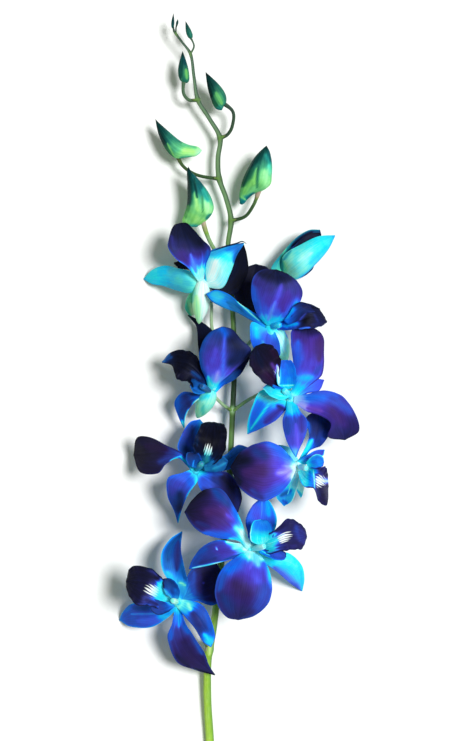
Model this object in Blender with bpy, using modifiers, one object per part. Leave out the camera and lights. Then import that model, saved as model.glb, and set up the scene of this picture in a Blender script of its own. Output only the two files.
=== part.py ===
"""A cut spray of blue dendrobium orchid, lying on a table: eight open blooms, one opening bloom and eight
closed buds on one arching flower stem.

Lengths are in millimetres until a mesh is made, and the table's top is z = 0. The spray lies along Y, with
the cut end at -Y, and +Z is up. Each place is named by the point of a 467 x 741 picture, seen from straight
above, that it lies under, and by its height above the table: at() turns both into a place in space.
"""

import math

import bmesh
import bpy
from mathutils import Vector

# Driving dimensions
MM = 0.001
PICTURE_CENTRE = (233.5, 370.5)
MM_PER_PIXEL = 0.55  # at the height below
SCALE_HEIGHT = 20.0
EYE_HEIGHT = 1200.0
BOX_CENTRE = (2.0, -34.0)  # of the whole spray, from the picture's centre
BLADE_THICK = 0.7
TABLE_CLEARANCE = 0.45  # of a blade's middle surface where it lies on the table
GAP = 0.25  # between two pieces where one grows from the other
HUB_RADIUS = 3.0
STEM_RADIUS = 2.5
PEDICEL_RADIUS = 0.95
PETAL_LIFT = 1.2  # how far a petal's foot stands in front of the sepals
LIP_DROP = 1.5  # the lip's claw runs under the column
COLUMN_LIFT = 3.2
COLUMN_RADIUS = 1.5

GREEN = (0.20, 0.36, 0.09)
BUD_GREEN = (0.06, 0.42, 0.24)
SEPAL_BLUE = (0.02, 0.20, 0.70)
PETAL_VIOLET = (0.05, 0.03, 0.35)
LIP_NAVY = (0.012, 0.010, 0.06)
COLUMN_WHITE = (0.55, 0.90, 0.92)

UP = Vector((0, 0, 1))


def at(px, py, height):
    """The place at this height that the picture shows at (px, py), in millimetres."""
    scale = MM_PER_PIXEL * (EYE_HEIGHT - height) / (EYE_HEIGHT - SCALE_HEIGHT)
    x = (px - PICTURE_CENTRE[0]) * scale - BOX_CENTRE[0]
    y = (PICTURE_CENTRE[1] - py) * scale - BOX_CENTRE[1]
    return Vector((x, y, height))


def seen(point):
    """The picture point and height of a place: at() backwards."""
    scale = MM_PER_PIXEL * (EYE_HEIGHT - point.z) / (EYE_HEIGHT - SCALE_HEIGHT)
    px = (point.x + BOX_CENTRE[0]) / scale + PICTURE_CENTRE[0]
    py = PICTURE_CENTRE[1] - (point.y + BOX_CENTRE[1]) / scale
    return Vector((px, py, point.z))


# The spray's line, from the cut end to the tip, with the stem's thickness as a share of STEM_RADIUS
RACHIS = [
    ((209, 846, 2.15), 1.00),
    ((208.5, 800, 2.3), 0.98),
    ((208, 741, 2.9), 0.94),
    ((207.5, 700, 4.5), 0.88),
    ((208, 660, 7), 0.84),
    ((213, 630, 9), 0.80),
    ((218, 590, 10.5), 0.76),
    ((223, 545, 11.5), 0.72),
    ((228, 500, 12), 0.68),
    ((231, 445, 12), 0.62),
    ((232.5, 411, 12), 0.60),
    ((234, 380, 12), 0.58),
    ((234, 345, 12), 0.56),
    ((232.5, 310, 12), 0.55),
    ((229, 270, 11.5), 0.54),
    ((228, 245, 11), 0.54),
    ((231, 220, 11), 0.58),
    ((226, 198, 10.5), 0.54),
    ((219, 178, 10.5), 0.56),
    ((218, 158, 10.5), 0.54),
    ((220, 138, 11), 0.52),
    ((209, 118, 11), 0.46),
    ((198, 100, 11.5), 0.44),
    ((194, 77, 12), 0.34),
    ((190.5, 54, 12.5), 0.30),
    ((182, 42, 13), 0.24),
    ((174, 31, 13.5), 0.22),
    ((173.3, 27, 13.8), 0.18),
]


# Curves through points


def curve_through(points):
    """A smooth curve through the points, as a function of its length's share from 0 to 1."""
    ends = [points[0] * 2 - points[1], *points, points[-1] * 2 - points[-2]]
    marks = [0.0]
    for a, b in zip(points, points[1:]):
        marks.append(marks[-1] + max((b - a).length, 1e-6))
    whole = marks[-1]

    def place(share):
        distance = min(max(share, 0.0), 1.0) * whole
        i = 0
        while i < len(points) - 2 and distance > marks[i + 1]:
            i += 1
        span = marks[i + 1] - marks[i]
        u = (distance - marks[i]) / span
        before = marks[i] - marks[i - 1] if i else span
        after = marks[i + 2] - marks[i + 1] if i + 2 < len(marks) else span
        a, b = ends[i + 1], ends[i + 2]
        leave = (b - ends[i]) * (span / (before + span))
        arrive = (ends[i + 3] - a) * (span / (span + after))
        return (
            a * (2 * u**3 - 3 * u**2 + 1)
            + leave * (u**3 - 2 * u**2 + u)
            + b * (3 * u**2 - 2 * u**3)
            + arrive * (u**3 - u**2)
        )

    return place


def heading(place, share):
    """The unit direction of a curve there."""
    step = 0.02
    ahead = place(min(share + step, 1.0)) - place(max(share - step, 0.0))
    return ahead.normalized()


def between(knots, t):
    """The value at t of a smooth line through (t, value) knots."""
    for (t0, v0), (t1, v1) in zip(knots, knots[1:]):
        if t <= t1:
            u = (t - t0) / (t1 - t0)
            return v0 + (v1 - v0) * u * u * (3 - 2 * u)
    return knots[-1][1]


# Blades: their width at the foot and at the tip in picture points, and their grids
FOOT_WIDTHS = {"petal": 4.0, "sepal": 9.0, "lip": 8.0}
TIP_WIDTH = 1.0
GRIDS = {"petal": (6, 7), "sepal": (4, 6), "lip": (6, 8)}
LIP_RISES = [(0, 0.3), (0.3, 1.0), (0.55, 0.45), (0.75, 0.05), (1, -0.5)]


def across_of(midrib, t):
    """The unit direction in the picture that points to the right of a walk along the midrib."""
    ahead = heading(midrib, t)
    return Vector((-ahead.y, ahead.x, 0)).normalized()


def blade_surface(kind, base, midrib, left, right, rise=0.0, tilt=0.0, wave=0.0):
    """The middle surface of a thin organ, as a function of s, from -1 at its left edge to 1 at its right,
    and t, from base to tip. The edges stand this much higher than the midrib, and tilt adds half of itself
    to the right edge and takes it from the left. Points are picture points with heights."""
    ribs = [seen(base)] + [Vector(p) for p in midrib]
    middle = curve_through(ribs)
    tip = ribs[-1].copy()
    edges = {}
    for sign, points in ((-1, left), (1, right)):
        start = ribs[0] + across_of(middle, 0) * sign * FOOT_WIDTHS[kind] / 2
        end = tip + across_of(middle, 1) * sign * TIP_WIDTH / 2
        line = [start] + [Vector((*p, 0)) for p in points] + [end]
        for p in line:
            p.z = 0
        edges[sign] = curve_through(line)

    def place(s, t):
        centre = middle(t)
        edge = edges[1 if s > 0 else -1](t)
        spot = centre + (edge - centre) * abs(s)
        stand = between(LIP_RISES, t) if kind == "lip" else math.sin(math.pi * t**0.8)
        height = centre.z + rise * stand * s * s
        height += tilt / 2 * s * math.sin(math.pi * t**0.8)
        ripple = math.sin(math.tau * (2.2 * t + 0.3 * s)) * abs(s) ** 2.5
        height += wave * ripple * math.sin(math.pi * min(t * 1.1, 1.0))
        return at(spot.x, spot.y, max(height, TABLE_CLEARANCE))

    return place


# Objects


def shown(name, mesh, material):
    mesh.materials.clear()
    mesh.materials.append(material)
    mesh.shade_smooth()
    obj = bpy.data.objects.new(name, mesh)
    bpy.data.collections["dendrobium_spray"].objects.link(obj)
    return obj


def material_of(name, colour, roughness):
    material = bpy.data.materials.new(name)
    material.use_nodes = True
    shader = material.node_tree.nodes["Principled BSDF"]
    shader.inputs["Base Color"].default_value = (*colour, 1)
    shader.inputs["Roughness"].default_value = roughness
    shader.inputs["Metallic"].default_value = 0
    return material


def mesh_of(name, form):
    mesh = bpy.data.meshes.new(name)
    form.to_mesh(mesh)
    form.free()
    return mesh


def blade(name, kind, surface, material):
    """A thin organ as a grid laid on its surface, split alike on both faces, with Solidify's thickness."""
    across, along = GRIDS[kind]
    form = bmesh.new()
    bmesh.ops.create_grid(form, x_segments=across, y_segments=along, size=1)
    bmesh.ops.triangulate(form, faces=form.faces, quad_method="FIXED")
    for corner in form.verts:
        t = (corner.co.y + 1) / 2
        corner.co = surface(corner.co.x, t) * MM
    obj = shown(name, mesh_of(name, form), material)
    solidify = obj.modifiers.new("thickness", "SOLIDIFY")
    solidify.thickness = BLADE_THICK * MM
    solidify.offset = 0
    return obj


def spindle(name, points, radius, profile, material, sides=10, rings=9, shape=None):
    """A solid of round section along a curve, from a ball whose points are moved: profile(t) is its radius
    as a share of radius, and shape(t, angle) adds a vector to a point or leaves it."""
    axis = curve_through(points)
    form = bmesh.new()
    bmesh.ops.create_uvsphere(form, u_segments=sides, v_segments=rings, radius=1)
    for corner in form.verts:
        t = (1 + corner.co.z) / 2
        angle = math.atan2(corner.co.y, corner.co.x)
        ahead = heading(axis, t)
        side = UP.cross(ahead).normalized()
        above = ahead.cross(side)
        on_axis = math.hypot(corner.co.x, corner.co.y) < 1e-4
        reach = 0 if on_axis else radius * profile(t)
        out = side * math.cos(angle) + above * math.sin(angle)
        point = axis(t) + out * reach
        if shape:
            point += shape(t, out)
        corner.co = point * MM
    return shown(name, mesh_of(name, form), material)


def tube(name, points, radii, material, sides_setting, steps):
    """A round stem through the points, as a poly curve whose thickness follows radii."""
    line = curve_through(points)
    thickness = [(i / (len(radii) - 1), r) for i, r in enumerate(radii)]
    marks = lengths_along(points)
    curve = bpy.data.curves.new(name, "CURVE")
    curve.dimensions = "3D"
    curve.bevel_depth = MM
    curve.bevel_resolution = sides_setting
    curve.use_fill_caps = True
    spline = curve.splines.new("POLY")
    spline.points.add(steps)
    for i, point in enumerate(spline.points):
        share = i / steps
        point.co = (*(line(share) * MM), 1)
        if len(radii) == len(points):
            point.radius = between(list(zip(marks, radii)), share)
        else:
            point.radius = between(thickness, share)
    obj = bpy.data.objects.new(name, curve)
    bpy.data.collections["dendrobium_spray"].objects.link(obj)
    bpy.context.view_layer.update()
    graph = bpy.context.evaluated_depsgraph_get()
    mesh = bpy.data.meshes.new_from_object(obj.evaluated_get(graph))
    form = bmesh.new()
    form.from_mesh(mesh)
    bmesh.ops.remove_doubles(form, verts=form.verts, dist=1e-6)
    form.to_mesh(mesh)
    form.free()
    bpy.data.objects.remove(obj)
    return shown(name, mesh, material)


def lengths_along(points):
    """Each point's share of the line's length."""
    marks = [0.0]
    for a, b in zip(points, points[1:]):
        marks.append(marks[-1] + (b - a).length)
    return [m / marks[-1] for m in marks]


def fused(name, pieces, material, solver="MANIFOLD"):
    """One object of these that overlap, joined by one Boolean union on a collection."""
    first, *others = pieces
    group = bpy.data.collections.new(name + "_pieces")
    bpy.context.scene.collection.children.link(group)
    for piece in others:
        bpy.data.collections["dendrobium_spray"].objects.unlink(piece)
        group.objects.link(piece)
    join = first.modifiers.new("join", "BOOLEAN")
    join.operation = "UNION"
    join.operand_type = "COLLECTION"
    join.collection = group
    join.solver = solver
    bpy.context.view_layer.update()
    graph = bpy.context.evaluated_depsgraph_get()
    mesh = bpy.data.meshes.new_from_object(first.evaluated_get(graph))
    mesh.name = name
    for piece in pieces:
        bpy.data.objects.remove(piece)
    bpy.data.collections.remove(group)
    return shown(name, mesh, material)


# The blooms: where each stands, where its stalk leaves the stem, and its organs. Each organ is its kind and
# name, the points that its midrib runs through after the bloom's middle, those of its left and right edges,
# which the midrib's last point also ends, and how its edges stand. Left is that of a walk to the tip.

BLOOMS = [
    {
        "name": "bloom_1",
        "middle": (202, 283, 22),
        "joint": 362,
        "stalk": [(211, 303, 12.5), (212, 328, 10), (220, 347, 10)],
        "chin": ((199, 324, 13), 5.0),
        "column": (188, 281, 8),
        "column_lift": 0.0,
        "organs": [
            (
                "petal",
                "petal_upper",
                [(190, 252, 30), (180, 223, 27)],
                [(187, 267), (175, 258), (168, 247), (170, 234), (174, 225)],
                [(206, 265), (211, 249), (203, 240), (195, 231), (187, 223)],
                dict(rise=2, wave=0.5),
            ),
            (
                "petal",
                "petal_right",
                [(231, 275, 21), (243, 243, 25)],
                [(215, 275), (225, 260), (236, 248)],
                [(222, 296), (238, 291), (248, 272), (247, 255)],
                dict(rise=1, tilt=-3),
            ),
            (
                "sepal",
                "sepal_dorsal",
                [(215, 278, 26), (223, 263, 30), (244, 243, 28)],
                [(205, 283), (204, 268), (209, 252), (226, 246)],
                [(222, 288), (230, 274), (237, 255)],
                dict(rise=-4),
            ),
            (
                "sepal",
                "sepal_left",
                [(178, 279, 19), (160, 276, 11), (144, 279, 0.45)],
                [(190, 293), (178, 291), (163, 286), (152, 284)],
                [(189, 271), (178, 268.5), (165, 265.5), (152, 270)],
                dict(rise=-3),
            ),
            (
                "sepal",
                "sepal_lower",
                [(193, 296, 10), (190, 316, 3)],
                [(200, 300), (198, 312)],
                [(188, 296), (185, 308)],
                dict(rise=1),
            ),
        ],
        "lip": (
            [(194, 267, 12), (185, 264, 9), (174, 263, 6)],
            [(189, 270), (180, 269)],
            [(194, 261), (184, 260)],
            dict(rise=2.5),
        ),
    },
    {
        "name": "bloom_2",
        "middle": (270, 327, 29),
        "joint": 360,
        "stalk": [(256, 336, 17), (243, 350, 12)],
        "chin": ((287, 361, 14), 4.2),
        "column": (280, 325, 35),
        "organs": [
            (
                "petal",
                "petal_upper",
                [(269, 305, 41), (277, 285, 43), (276, 269.5, 39)],
                [(258, 316), (253, 303), (251, 289), (254, 276), (263, 269.5)],
                [(284, 320), (294, 314), (300, 303), (302.5, 292), (297, 281), (287, 273.5)],
                dict(rise=-3, wave=0.5),
            ),
            (
                "petal",
                "petal_lower",
                [(265, 341, 31), (268, 362, 24)],
                [(275, 332), (280, 346), (279, 357)],
                [(252, 322), (250, 336), (254, 350), (260, 360)],
                dict(rise=2.5),
            ),
            (
                "sepal",
                "sepal_dorsal",
                [(247, 315, 29), (230, 302, 29), (206, 294, 26)],
                [(250, 320), (238, 313), (224, 308), (211, 301)],
                [(251, 311), (239, 303), (229, 294.5), (216, 290)],
                dict(rise=1, tilt=3),
            ),
            (
                "sepal",
                "sepal_behind",
                [(253, 295, 17), (256, 264, 12)],
                [(247, 315), (236, 300), (232, 285), (238, 274), (247, 267)],
                [(270, 300), (274, 282), (268, 268)],
                dict(rise=1),
            ),
            (
                "sepal",
                "sepal_right",
                [(288, 322, 25), (304, 317, 22)],
                [(290, 315), (299, 311)],
                [(289, 330), (299, 328)],
                dict(rise=1),
            ),
        ],
        "lip": (
            [(298, 321, 38), (312, 317, 39), (327, 322, 34)],
            [(289, 319), (300, 303), (310, 305), (320, 310)],
            [(288, 329), (302, 329), (314, 328), (322, 326)],
            dict(rise=4),
        ),
    },
    {
        "name": "bloom_3",
        "middle": (211, 392, 25),
        "joint": 411,
        "stalk": [(218, 400, 17), (226, 407, 13)],
        "chin": ((198, 418, 12), 4.2),
        "column": (202, 386, 33),
        "organs": [
            (
                "petal",
                "petal_upper",
                [(218, 365, 37), (224, 345, 40), (222, 326.5, 35)],
                [(206, 380), (201, 368), (199, 355), (203, 341), (211, 331.5)],
                [(220, 383), (233, 372), (251, 351), (241, 339), (232, 329)],
                dict(rise=-2, wave=0.4),
            ),
            (
                "petal",
                "petal_right",
                [(232, 372, 27), (251, 352, 23)],
                [(222, 377), (235, 362), (245, 352)],
                [(223, 386), (238, 377), (248, 362)],
                dict(rise=1),
            ),
            (
                "sepal",
                "sepal_dorsal",
                [(223, 375, 19), (236, 350, 15)],
                [(217, 370), (227, 352)],
                [(230, 378), (239, 362)],
                dict(rise=1),
            ),
            (
                "sepal",
                "sepal_lower",
                [(192, 400, 21), (182, 410, 17), (184, 428, 9)],
                [(201, 398), (192, 405), (186, 416)],
                [(197, 393), (183, 392), (174.5, 402), (178, 416)],
                dict(rise=1.5),
            ),
            (
                "sepal",
                "sepal_left",
                [(206, 355, 15), (203, 333, 10), (188, 315, 4)],
                [(200, 365), (198, 345), (196, 326)],
                [(214, 352), (214, 333), (202, 322)],
                dict(rise=1),
            ),
        ],
        "lip": (
            [(198, 374, 29), (184, 365, 30), (162, 362, 22)],
            [(196, 394), (190, 383), (177, 379), (172, 366)],
            [(207, 378), (198, 358), (189, 351), (173, 351)],
            dict(rise=4),
        ),
    },
    {
        "name": "bloom_4",
        "middle": (291, 399, 34),
        "joint": 411,
        "stalk": [(266, 392.5, 22), (250, 399, 16)],
        "chin": ((281, 385, 20), 3.0),
        "column": (284, 390, 43),
        "organs": [
            (
                "petal",
                "petal_upper",
                [(307, 362, 39), (308, 345, 37), (307, 324, 30)],
                [(295, 379), (293, 361), (291, 343), (292, 330)],
                [(307, 382), (321, 374), (324, 355), (322.5, 335)],
                dict(rise=-2, wave=0.4),
            ),
            (
                "petal",
                "petal_right",
                [(318, 402, 42), (338, 413, 41), (345, 440, 29)],
                [(305, 394.5), (325, 390.5), (342, 396), (355, 413), (359, 431)],
                [(306, 411), (322, 416.5), (331, 424), (328, 437)],
                dict(rise=-2, wave=0.5),
            ),
            (
                "sepal",
                "sepal_dorsal",
                [(310, 388, 32), (324, 380, 30)],
                [(306, 385), (315, 379)],
                [(307, 393.5), (319, 391)],
                dict(rise=1),
            ),
            (
                "sepal",
                "sepal_lower",
                [(294, 420, 42), (296, 440, 45), (296, 457, 46)],
                [(300, 411), (307.5, 421), (305, 437), (299, 450)],
                [(286, 409), (282.5, 421), (285.5, 438), (291, 450)],
                dict(rise=-1.5),
            ),
            (
                "sepal",
                "sepal_left",
                [(269, 406, 33), (256, 419, 28), (247.5, 434, 20)],
                [(284, 412), (275, 421), (260, 429)],
                [(272, 390), (260, 391), (252, 407), (247.5, 422)],
                dict(rise=2),
            ),
        ],
        "lip": (
            [(277, 377, 46), (267, 366, 48), (256, 346, 41)],
            [(273, 388), (262, 381), (250, 366), (250, 354)],
            [(289, 381), (283, 357), (273, 346), (263, 343.5)],
            dict(rise=4),
        ),
    },
    {
        "name": "bloom_5",
        "middle": (196, 471, 27),
        "joint": 518,
        "stalk": [(206, 486, 17), (217, 502, 13)],
        "chin": ((200, 458, 13), 3.0),
        "column": (202, 463, 35),
        "organs": [
            (
                "petal",
                "petal_left",
                [(182, 457, 32), (165, 454, 31), (149, 455, 22), (133.5, 455, 11)],
                [(187, 466), (178, 458), (166, 464), (158, 473.5), (140, 472)],
                [(191, 463), (182, 453), (168, 446), (149, 437), (137, 437.5)],
                dict(rise=1, wave=0.3),
            ),
            (
                "petal",
                "petal_right",
                [(216, 484, 29), (230, 497, 23), (238, 512, 15)],
                [(210, 472), (226, 472), (236, 481), (242, 497)],
                [(199, 487), (210, 500), (225, 510)],
                dict(rise=1, wave=0.4),
            ),
            (
                "sepal",
                "sepal_dorsal",
                [(183, 485, 30), (178, 502, 24), (178, 523, 12)],
                [(197, 482), (189, 493), (182, 509)],
                [(183, 472.5), (168, 478), (167.5, 496), (174, 511)],
                dict(rise=1.5),
            ),
            (
                "sepal",
                "sepal_left",
                [(188, 448, 24), (192, 433, 23), (200, 419.5, 18)],
                [(186, 460), (177.5, 448), (182, 434), (190, 422)],
                [(199, 456), (202, 440), (205, 426)],
                dict(rise=1),
            ),
            (
                "sepal",
                "sepal_right",
                [(222, 464, 22), (236, 454, 19), (249, 448, 14)],
                [(211, 461), (225, 455), (238, 445)],
                [(214, 472), (230, 469), (243, 458)],
                dict(rise=1.5),
            ),
        ],
        "lip": (
            [(207, 455, 38), (211, 440, 40), (214, 422, 33)],
            [(198, 462), (193, 447), (197, 434), (203, 423)],
            [(213, 465), (222, 457), (226.5, 443), (225, 425.5)],
            dict(rise=4),
        ),
    },
    {
        "name": "bloom_6",
        "middle": (298, 466, 35),
        "joint": 478,
        "stalk": [(277, 474, 20), (252, 480, 14)],
        "chin": ((301, 498, 20), 2.8),
        "column": (306, 468, 43),
        "organs": [
            (
                "petal",
                "petal_left",
                [(274, 469, 45), (250, 468, 44), (230.5, 467, 36)],
                [(288, 485), (275, 497), (260, 501), (240, 488)],
                [(290, 456), (278, 445), (264, 441.5), (241, 451.5)],
                dict(rise=-3, wave=0.5),
            ),
            (
                "petal",
                "petal_right",
                [(314, 442, 30), (318, 427, 28), (318, 410, 24)],
                [(304, 450), (309, 436), (306, 418)],
                [(310, 450), (322, 445), (332, 427), (330, 414)],
                dict(rise=1, wave=0.4),
            ),
            (
                "sepal",
                "sepal_dorsal",
                [(283, 452, 31), (268, 440, 27)],
                [(285, 458), (273, 451)],
                [(290, 448), (279, 439)],
                dict(rise=1),
            ),
            (
                "sepal",
                "sepal_lower",
                [(288, 491, 26), (284, 506, 16)],
                [(297, 488), (292, 501)],
                [(284, 484), (276, 496)],
                dict(rise=2),
            ),
            (
                "sepal",
                "sepal_right",
                [(311, 456, 38), (324.5, 450, 35)],
                [(307, 455), (317, 450)],
                [(312, 459), (323, 456)],
                dict(rise=1),
            ),
        ],
        "lip": (
            [(310, 478, 44), (320, 484, 40), (328.5, 487, 30)],
            [(308, 466), (318, 468), (326, 467)],
            [(303, 486), (314, 489), (319, 502), (327, 505)],
            dict(rise=4),
        ),
    },
    {
        "name": "bloom_7",
        "middle": (251, 549, 34),
        "joint": 600,
        "stalk": [(240, 563, 21), (228, 583, 13)],
        "chin": ((263, 546, 21), 3.0),
        "column": (264, 546, 43),
        "organs": [
            (
                "petal",
                "petal_left",
                [(232, 528, 44), (212, 514, 44), (184.5, 512, 36)],
                [(238, 541), (215, 537.5), (199, 531.5), (189, 521)],
                [(246, 533), (236, 510), (221, 489), (204, 490), (192, 500)],
                dict(rise=-2, wave=0.4),
            ),
            (
                "petal",
                "petal_lower",
                [(248, 575, 47), (244, 598, 48), (238, 620, 39)],
                [(262, 557), (270, 573), (272, 590), (268, 604), (254, 616)],
                [(239, 555), (222, 569), (215, 588), (218, 606), (227, 617.5)],
                dict(rise=-3, wave=0.5),
            ),
            (
                "sepal",
                "sepal_dorsal",
                [(228, 550, 37), (208, 555, 35), (189, 569, 28)],
                [(236, 558), (220, 562.5), (202, 567)],
                [(236, 543), (218, 540), (202, 547), (192, 560)],
                dict(rise=1),
            ),
            (
                "sepal",
                "sepal_upper",
                [(260, 524, 30), (263, 497, 25)],
                [(248, 535), (245.5, 521), (252, 506)],
                [(269, 540), (277, 521), (271, 503)],
                dict(rise=1.5),
            ),
            (
                "sepal",
                "sepal_right",
                [(276, 562, 30), (293, 568, 22), (302, 591, 0.45)],
                [(272, 556), (287, 552.5), (301, 564), (304.5, 578)],
                [(265, 564), (276, 571), (291, 584)],
                dict(rise=-1.5),
            ),
        ],
        "lip": (
            [(272, 543, 46), (288, 537, 48), (307, 537, 42)],
            [(264, 535), (274, 531), (288.5, 518.5), (304, 527)],
            [(268, 554), (283, 551), (296, 549.5), (302, 549)],
            dict(rise=4),
        ),
    },
    {
        "name": "bloom_8",
        "middle": (178, 602, 26),
        "joint": 650,
        "stalk": [(189, 616, 16), (200, 634, 10)],
        "chin": ((172, 594, 14), 3.0),
        "column": (173, 600, 35),
        "organs": [
            (
                "petal",
                "petal_lower",
                [(181, 632, 24), (190, 652, 19), (215, 675, 13)],
                [(184, 620), (195, 638), (204, 652), (210, 667)],
                [(172, 623), (167.5, 638), (177, 662), (195, 670)],
                dict(rise=1, wave=0.3),
            ),
            (
                "petal",
                "petal_right",
                [(203, 585, 20), (226, 579, 17)],
                [(184, 585), (192, 569), (212, 560)],
                [(197, 601), (212, 605.5), (224, 597)],
                dict(rise=1),
            ),
            (
                "sepal",
                "sepal_dorsal",
                [(197, 616, 29), (206, 631, 27), (211, 647, 19)],
                [(199, 603), (208, 613), (215, 636)],
                [(186, 618), (196, 630), (203, 642)],
                dict(rise=-1),
            ),
            (
                "sepal",
                "sepal_upper",
                [(176, 572, 28), (174, 552, 25), (182, 531.5, 15)],
                [(170, 584), (162, 569), (161.5, 553), (170, 539)],
                [(188, 586), (184, 566), (181, 548)],
                dict(rise=2),
            ),
            (
                "sepal",
                "sepal_left",
                [(155, 614, 21), (138, 615, 14), (119.5, 620, 0.45)],
                [(166, 619), (150, 627.5), (130, 626.5)],
                [(164, 607), (147, 603), (131, 604), (122, 613)],
                dict(rise=1.5),
            ),
        ],
        "lip": (
            [(158, 593, 38), (146, 585, 40), (126, 581, 33)],
            [(163, 609), (150, 606), (135, 604), (127, 591)],
            [(170, 588), (163, 579), (150, 568), (131, 567)],
            dict(rise=4),
        ),
    },
]

# The opening bloom: blades that still stand together round its middle
OPENING = {
    "name": "opening_bloom",
    "middle": (284, 275, 15),
    "joint": 300,
    "stalk": [(263, 284, 14), (245, 294, 12)],
    "organs": [
        (
            "sepal",
            "sepal_front",
            [(297, 266, 26), (312, 253, 28), (335, 235.5, 23)],
            [(281, 267), (284, 255), (300, 245), (318, 236.5)],
            [(292, 280), (300, 278), (314, 266), (328, 250)],
            dict(rise=-6),
        ),
        (
            "sepal",
            "sepal_left",
            [(288, 254, 15), (303, 239, 16), (320, 230, 16)],
            [(271, 269), (283, 252), (296, 238), (309, 230)],
            [(292, 262), (305, 248), (321, 236)],
            dict(rise=2, tilt=2),
        ),
        (
            "sepal",
            "sepal_under",
            [(301, 268, 6), (316, 257, 0.45)],
            [(290, 264), (304, 254)],
            [(298, 279), (312, 270)],
            dict(rise=2),
        ),
        (
            "petal",
            "petal_inner",
            [(295, 258, 19), (308, 244, 20), (320, 233, 19)],
            [(283, 262), (294, 246), (309, 234)],
            [(300, 264), (312, 250), (321, 239)],
            dict(rise=1),
        ),
    ],
}

# The closed buds: tip, base, greatest radius, the chin's tip, where the stalk leaves the stem, and its way
BUDS = [
    ("bud_1", (173.5, 13, 14.5), (173.6, 26, 13.9), 0.85, None, None, []),
    ("bud_2", (178, 19, 14.5), (176.8, 25, 14.0), 0.7, None, 34, [(176, 28, 13.7)]),
    ("bud_3", (185.5, 21, 16), (191, 39, 14), 1.9, (192.5, 38, 13), 54, [(194, 46, 13)]),
    (
        "bud_4",
        (182.5, 51, 16),
        (184, 83, 13.5),
        3.0,
        (188, 83, 13),
        100,
        [(183.5, 93, 12), (189, 100, 11.5)],
    ),
    (
        "bud_5",
        (205.5, 72, 18),
        (224, 106, 14),
        4.1,
        (220, 114, 13),
        138,
        [(233, 112, 13), (232, 127, 12), (227, 135, 11.5)],
    ),
    (
        "bud_6",
        (155.5, 119, 13),
        (178, 156, 12),
        5.0,
        (201, 150, 15),
        179,
        [(183, 166, 10), (197, 175, 10)],
    ),
    (
        "bud_7",
        (188, 166, 19),
        (202, 214, 14),
        7.4,
        (192, 226, 12),
        262,
        [(206, 232, 11), (215, 250, 10.5)],
    ),
    (
        "bud_8",
        (266.5, 145, 19),
        (260.5, 185, 16.5),
        6.2,
        (241, 205, 12),
        221,
        [(257.5, 195, 12), (253, 206, 11.5), (245, 216.5, 11)],
    ),
]

# The outlines of the three large buds, from the end of the chin to the tip: the left and right edge, their
# height, and half the thickness there. The first and the last are single points.
BUD_OUTLINES = {
    "bud_6": [
        ((199.5, 153.8), (199.5, 153.8), 14.5, 0),
        ((193, 156.5), (200.8, 149.5), 14.5, 1.6),
        ((184, 158), (197, 146.5), 14, 2.4),
        ((176, 158.3), (189.5, 145), 13, 3.6),
        ((170, 154.5), (183, 142.5), 12.5, 4.4),
        ((165.5, 149), (177.5, 139), 12.5, 4.5),
        ((162, 142.5), (171.5, 134), 12.5, 4.0),
        ((159, 135.5), (166.5, 129.5), 12.7, 3.2),
        ((157, 128.5), (161.5, 125), 12.8, 2.0),
        ((155.9, 123), (158, 121.8), 13, 0.9),
        ((155.3, 118.8), (155.3, 118.8), 13, 0),
    ],
    "bud_7": [
        ((191, 227), (191, 227), 11.5, 0),
        ((184.5, 225.5), (198, 226), 11.8, 2.2),
        ((182.2, 220.5), (206, 221), 12.5, 4.4),
        ((184.3, 214), (211.5, 215), 13.5, 6.0),
        ((186.8, 206), (214, 208), 14.5, 6.6),
        ((187.6, 198), (212, 199), 15.2, 6.6),
        ((187.6, 190), (207.5, 190.5), 16, 5.8),
        ((187.4, 182), (201, 182), 17, 4.4),
        ((187, 175.5), (195.5, 175.8), 18, 2.8),
        ((187, 170.5), (191, 171), 18.6, 1.3),
        ((188.5, 166.5), (188.5, 166.5), 19, 0),
    ],
    "bud_8": [
        ((242, 204.8), (242, 204.8), 12, 0),
        ((239.8, 201.5), (246.5, 200.5), 12.3, 1.8),
        ((239.2, 196.5), (254.5, 193.8), 13.2, 3.2),
        ((240.2, 189.5), (264, 190), 14.5, 4.6),
        ((242.2, 181), (270.8, 184), 16, 5.6),
        ((245.5, 173), (272, 175.5), 17, 5.8),
        ((249.3, 166), (272.4, 167.5), 17.8, 5.4),
        ((253, 159.5), (271.8, 160), 18.4, 4.4),
        ((257.5, 153.8), (270.5, 153.8), 18.8, 3.0),
        ((262, 149.3), (269, 149.8), 19, 1.5),
        ((266.5, 145.5), (266.5, 145.5), 19, 0),
    ],
}


def stem_point(py):
    """The stem's middle where the picture shows it at height py of the picture."""
    for (above, _), (below, _) in zip(RACHIS[1:], RACHIS):
        if above[1] <= py <= below[1]:
            u = (below[1] - py) / (below[1] - above[1])
            return at(*(b + (a - b) * u for a, b in zip(above, below)))
    raise ValueError(f"the stem doesn't reach {py}")


def anchored(middle, first, reach, lift=0.0):
    """A point this far from a bloom's middle, on the way to an organ's first point, and lifted a little."""
    way = (first - middle).normalized() * reach + UP * lift
    return middle + way.normalized() * reach


def ball(name, centre, radius, material):
    form = bmesh.new()
    bmesh.ops.create_uvsphere(form, u_segments=10, v_segments=7, radius=radius * MM)
    bmesh.ops.translate(form, vec=centre * MM, verts=form.verts)
    return shown(name, mesh_of(name, form), material)


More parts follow.
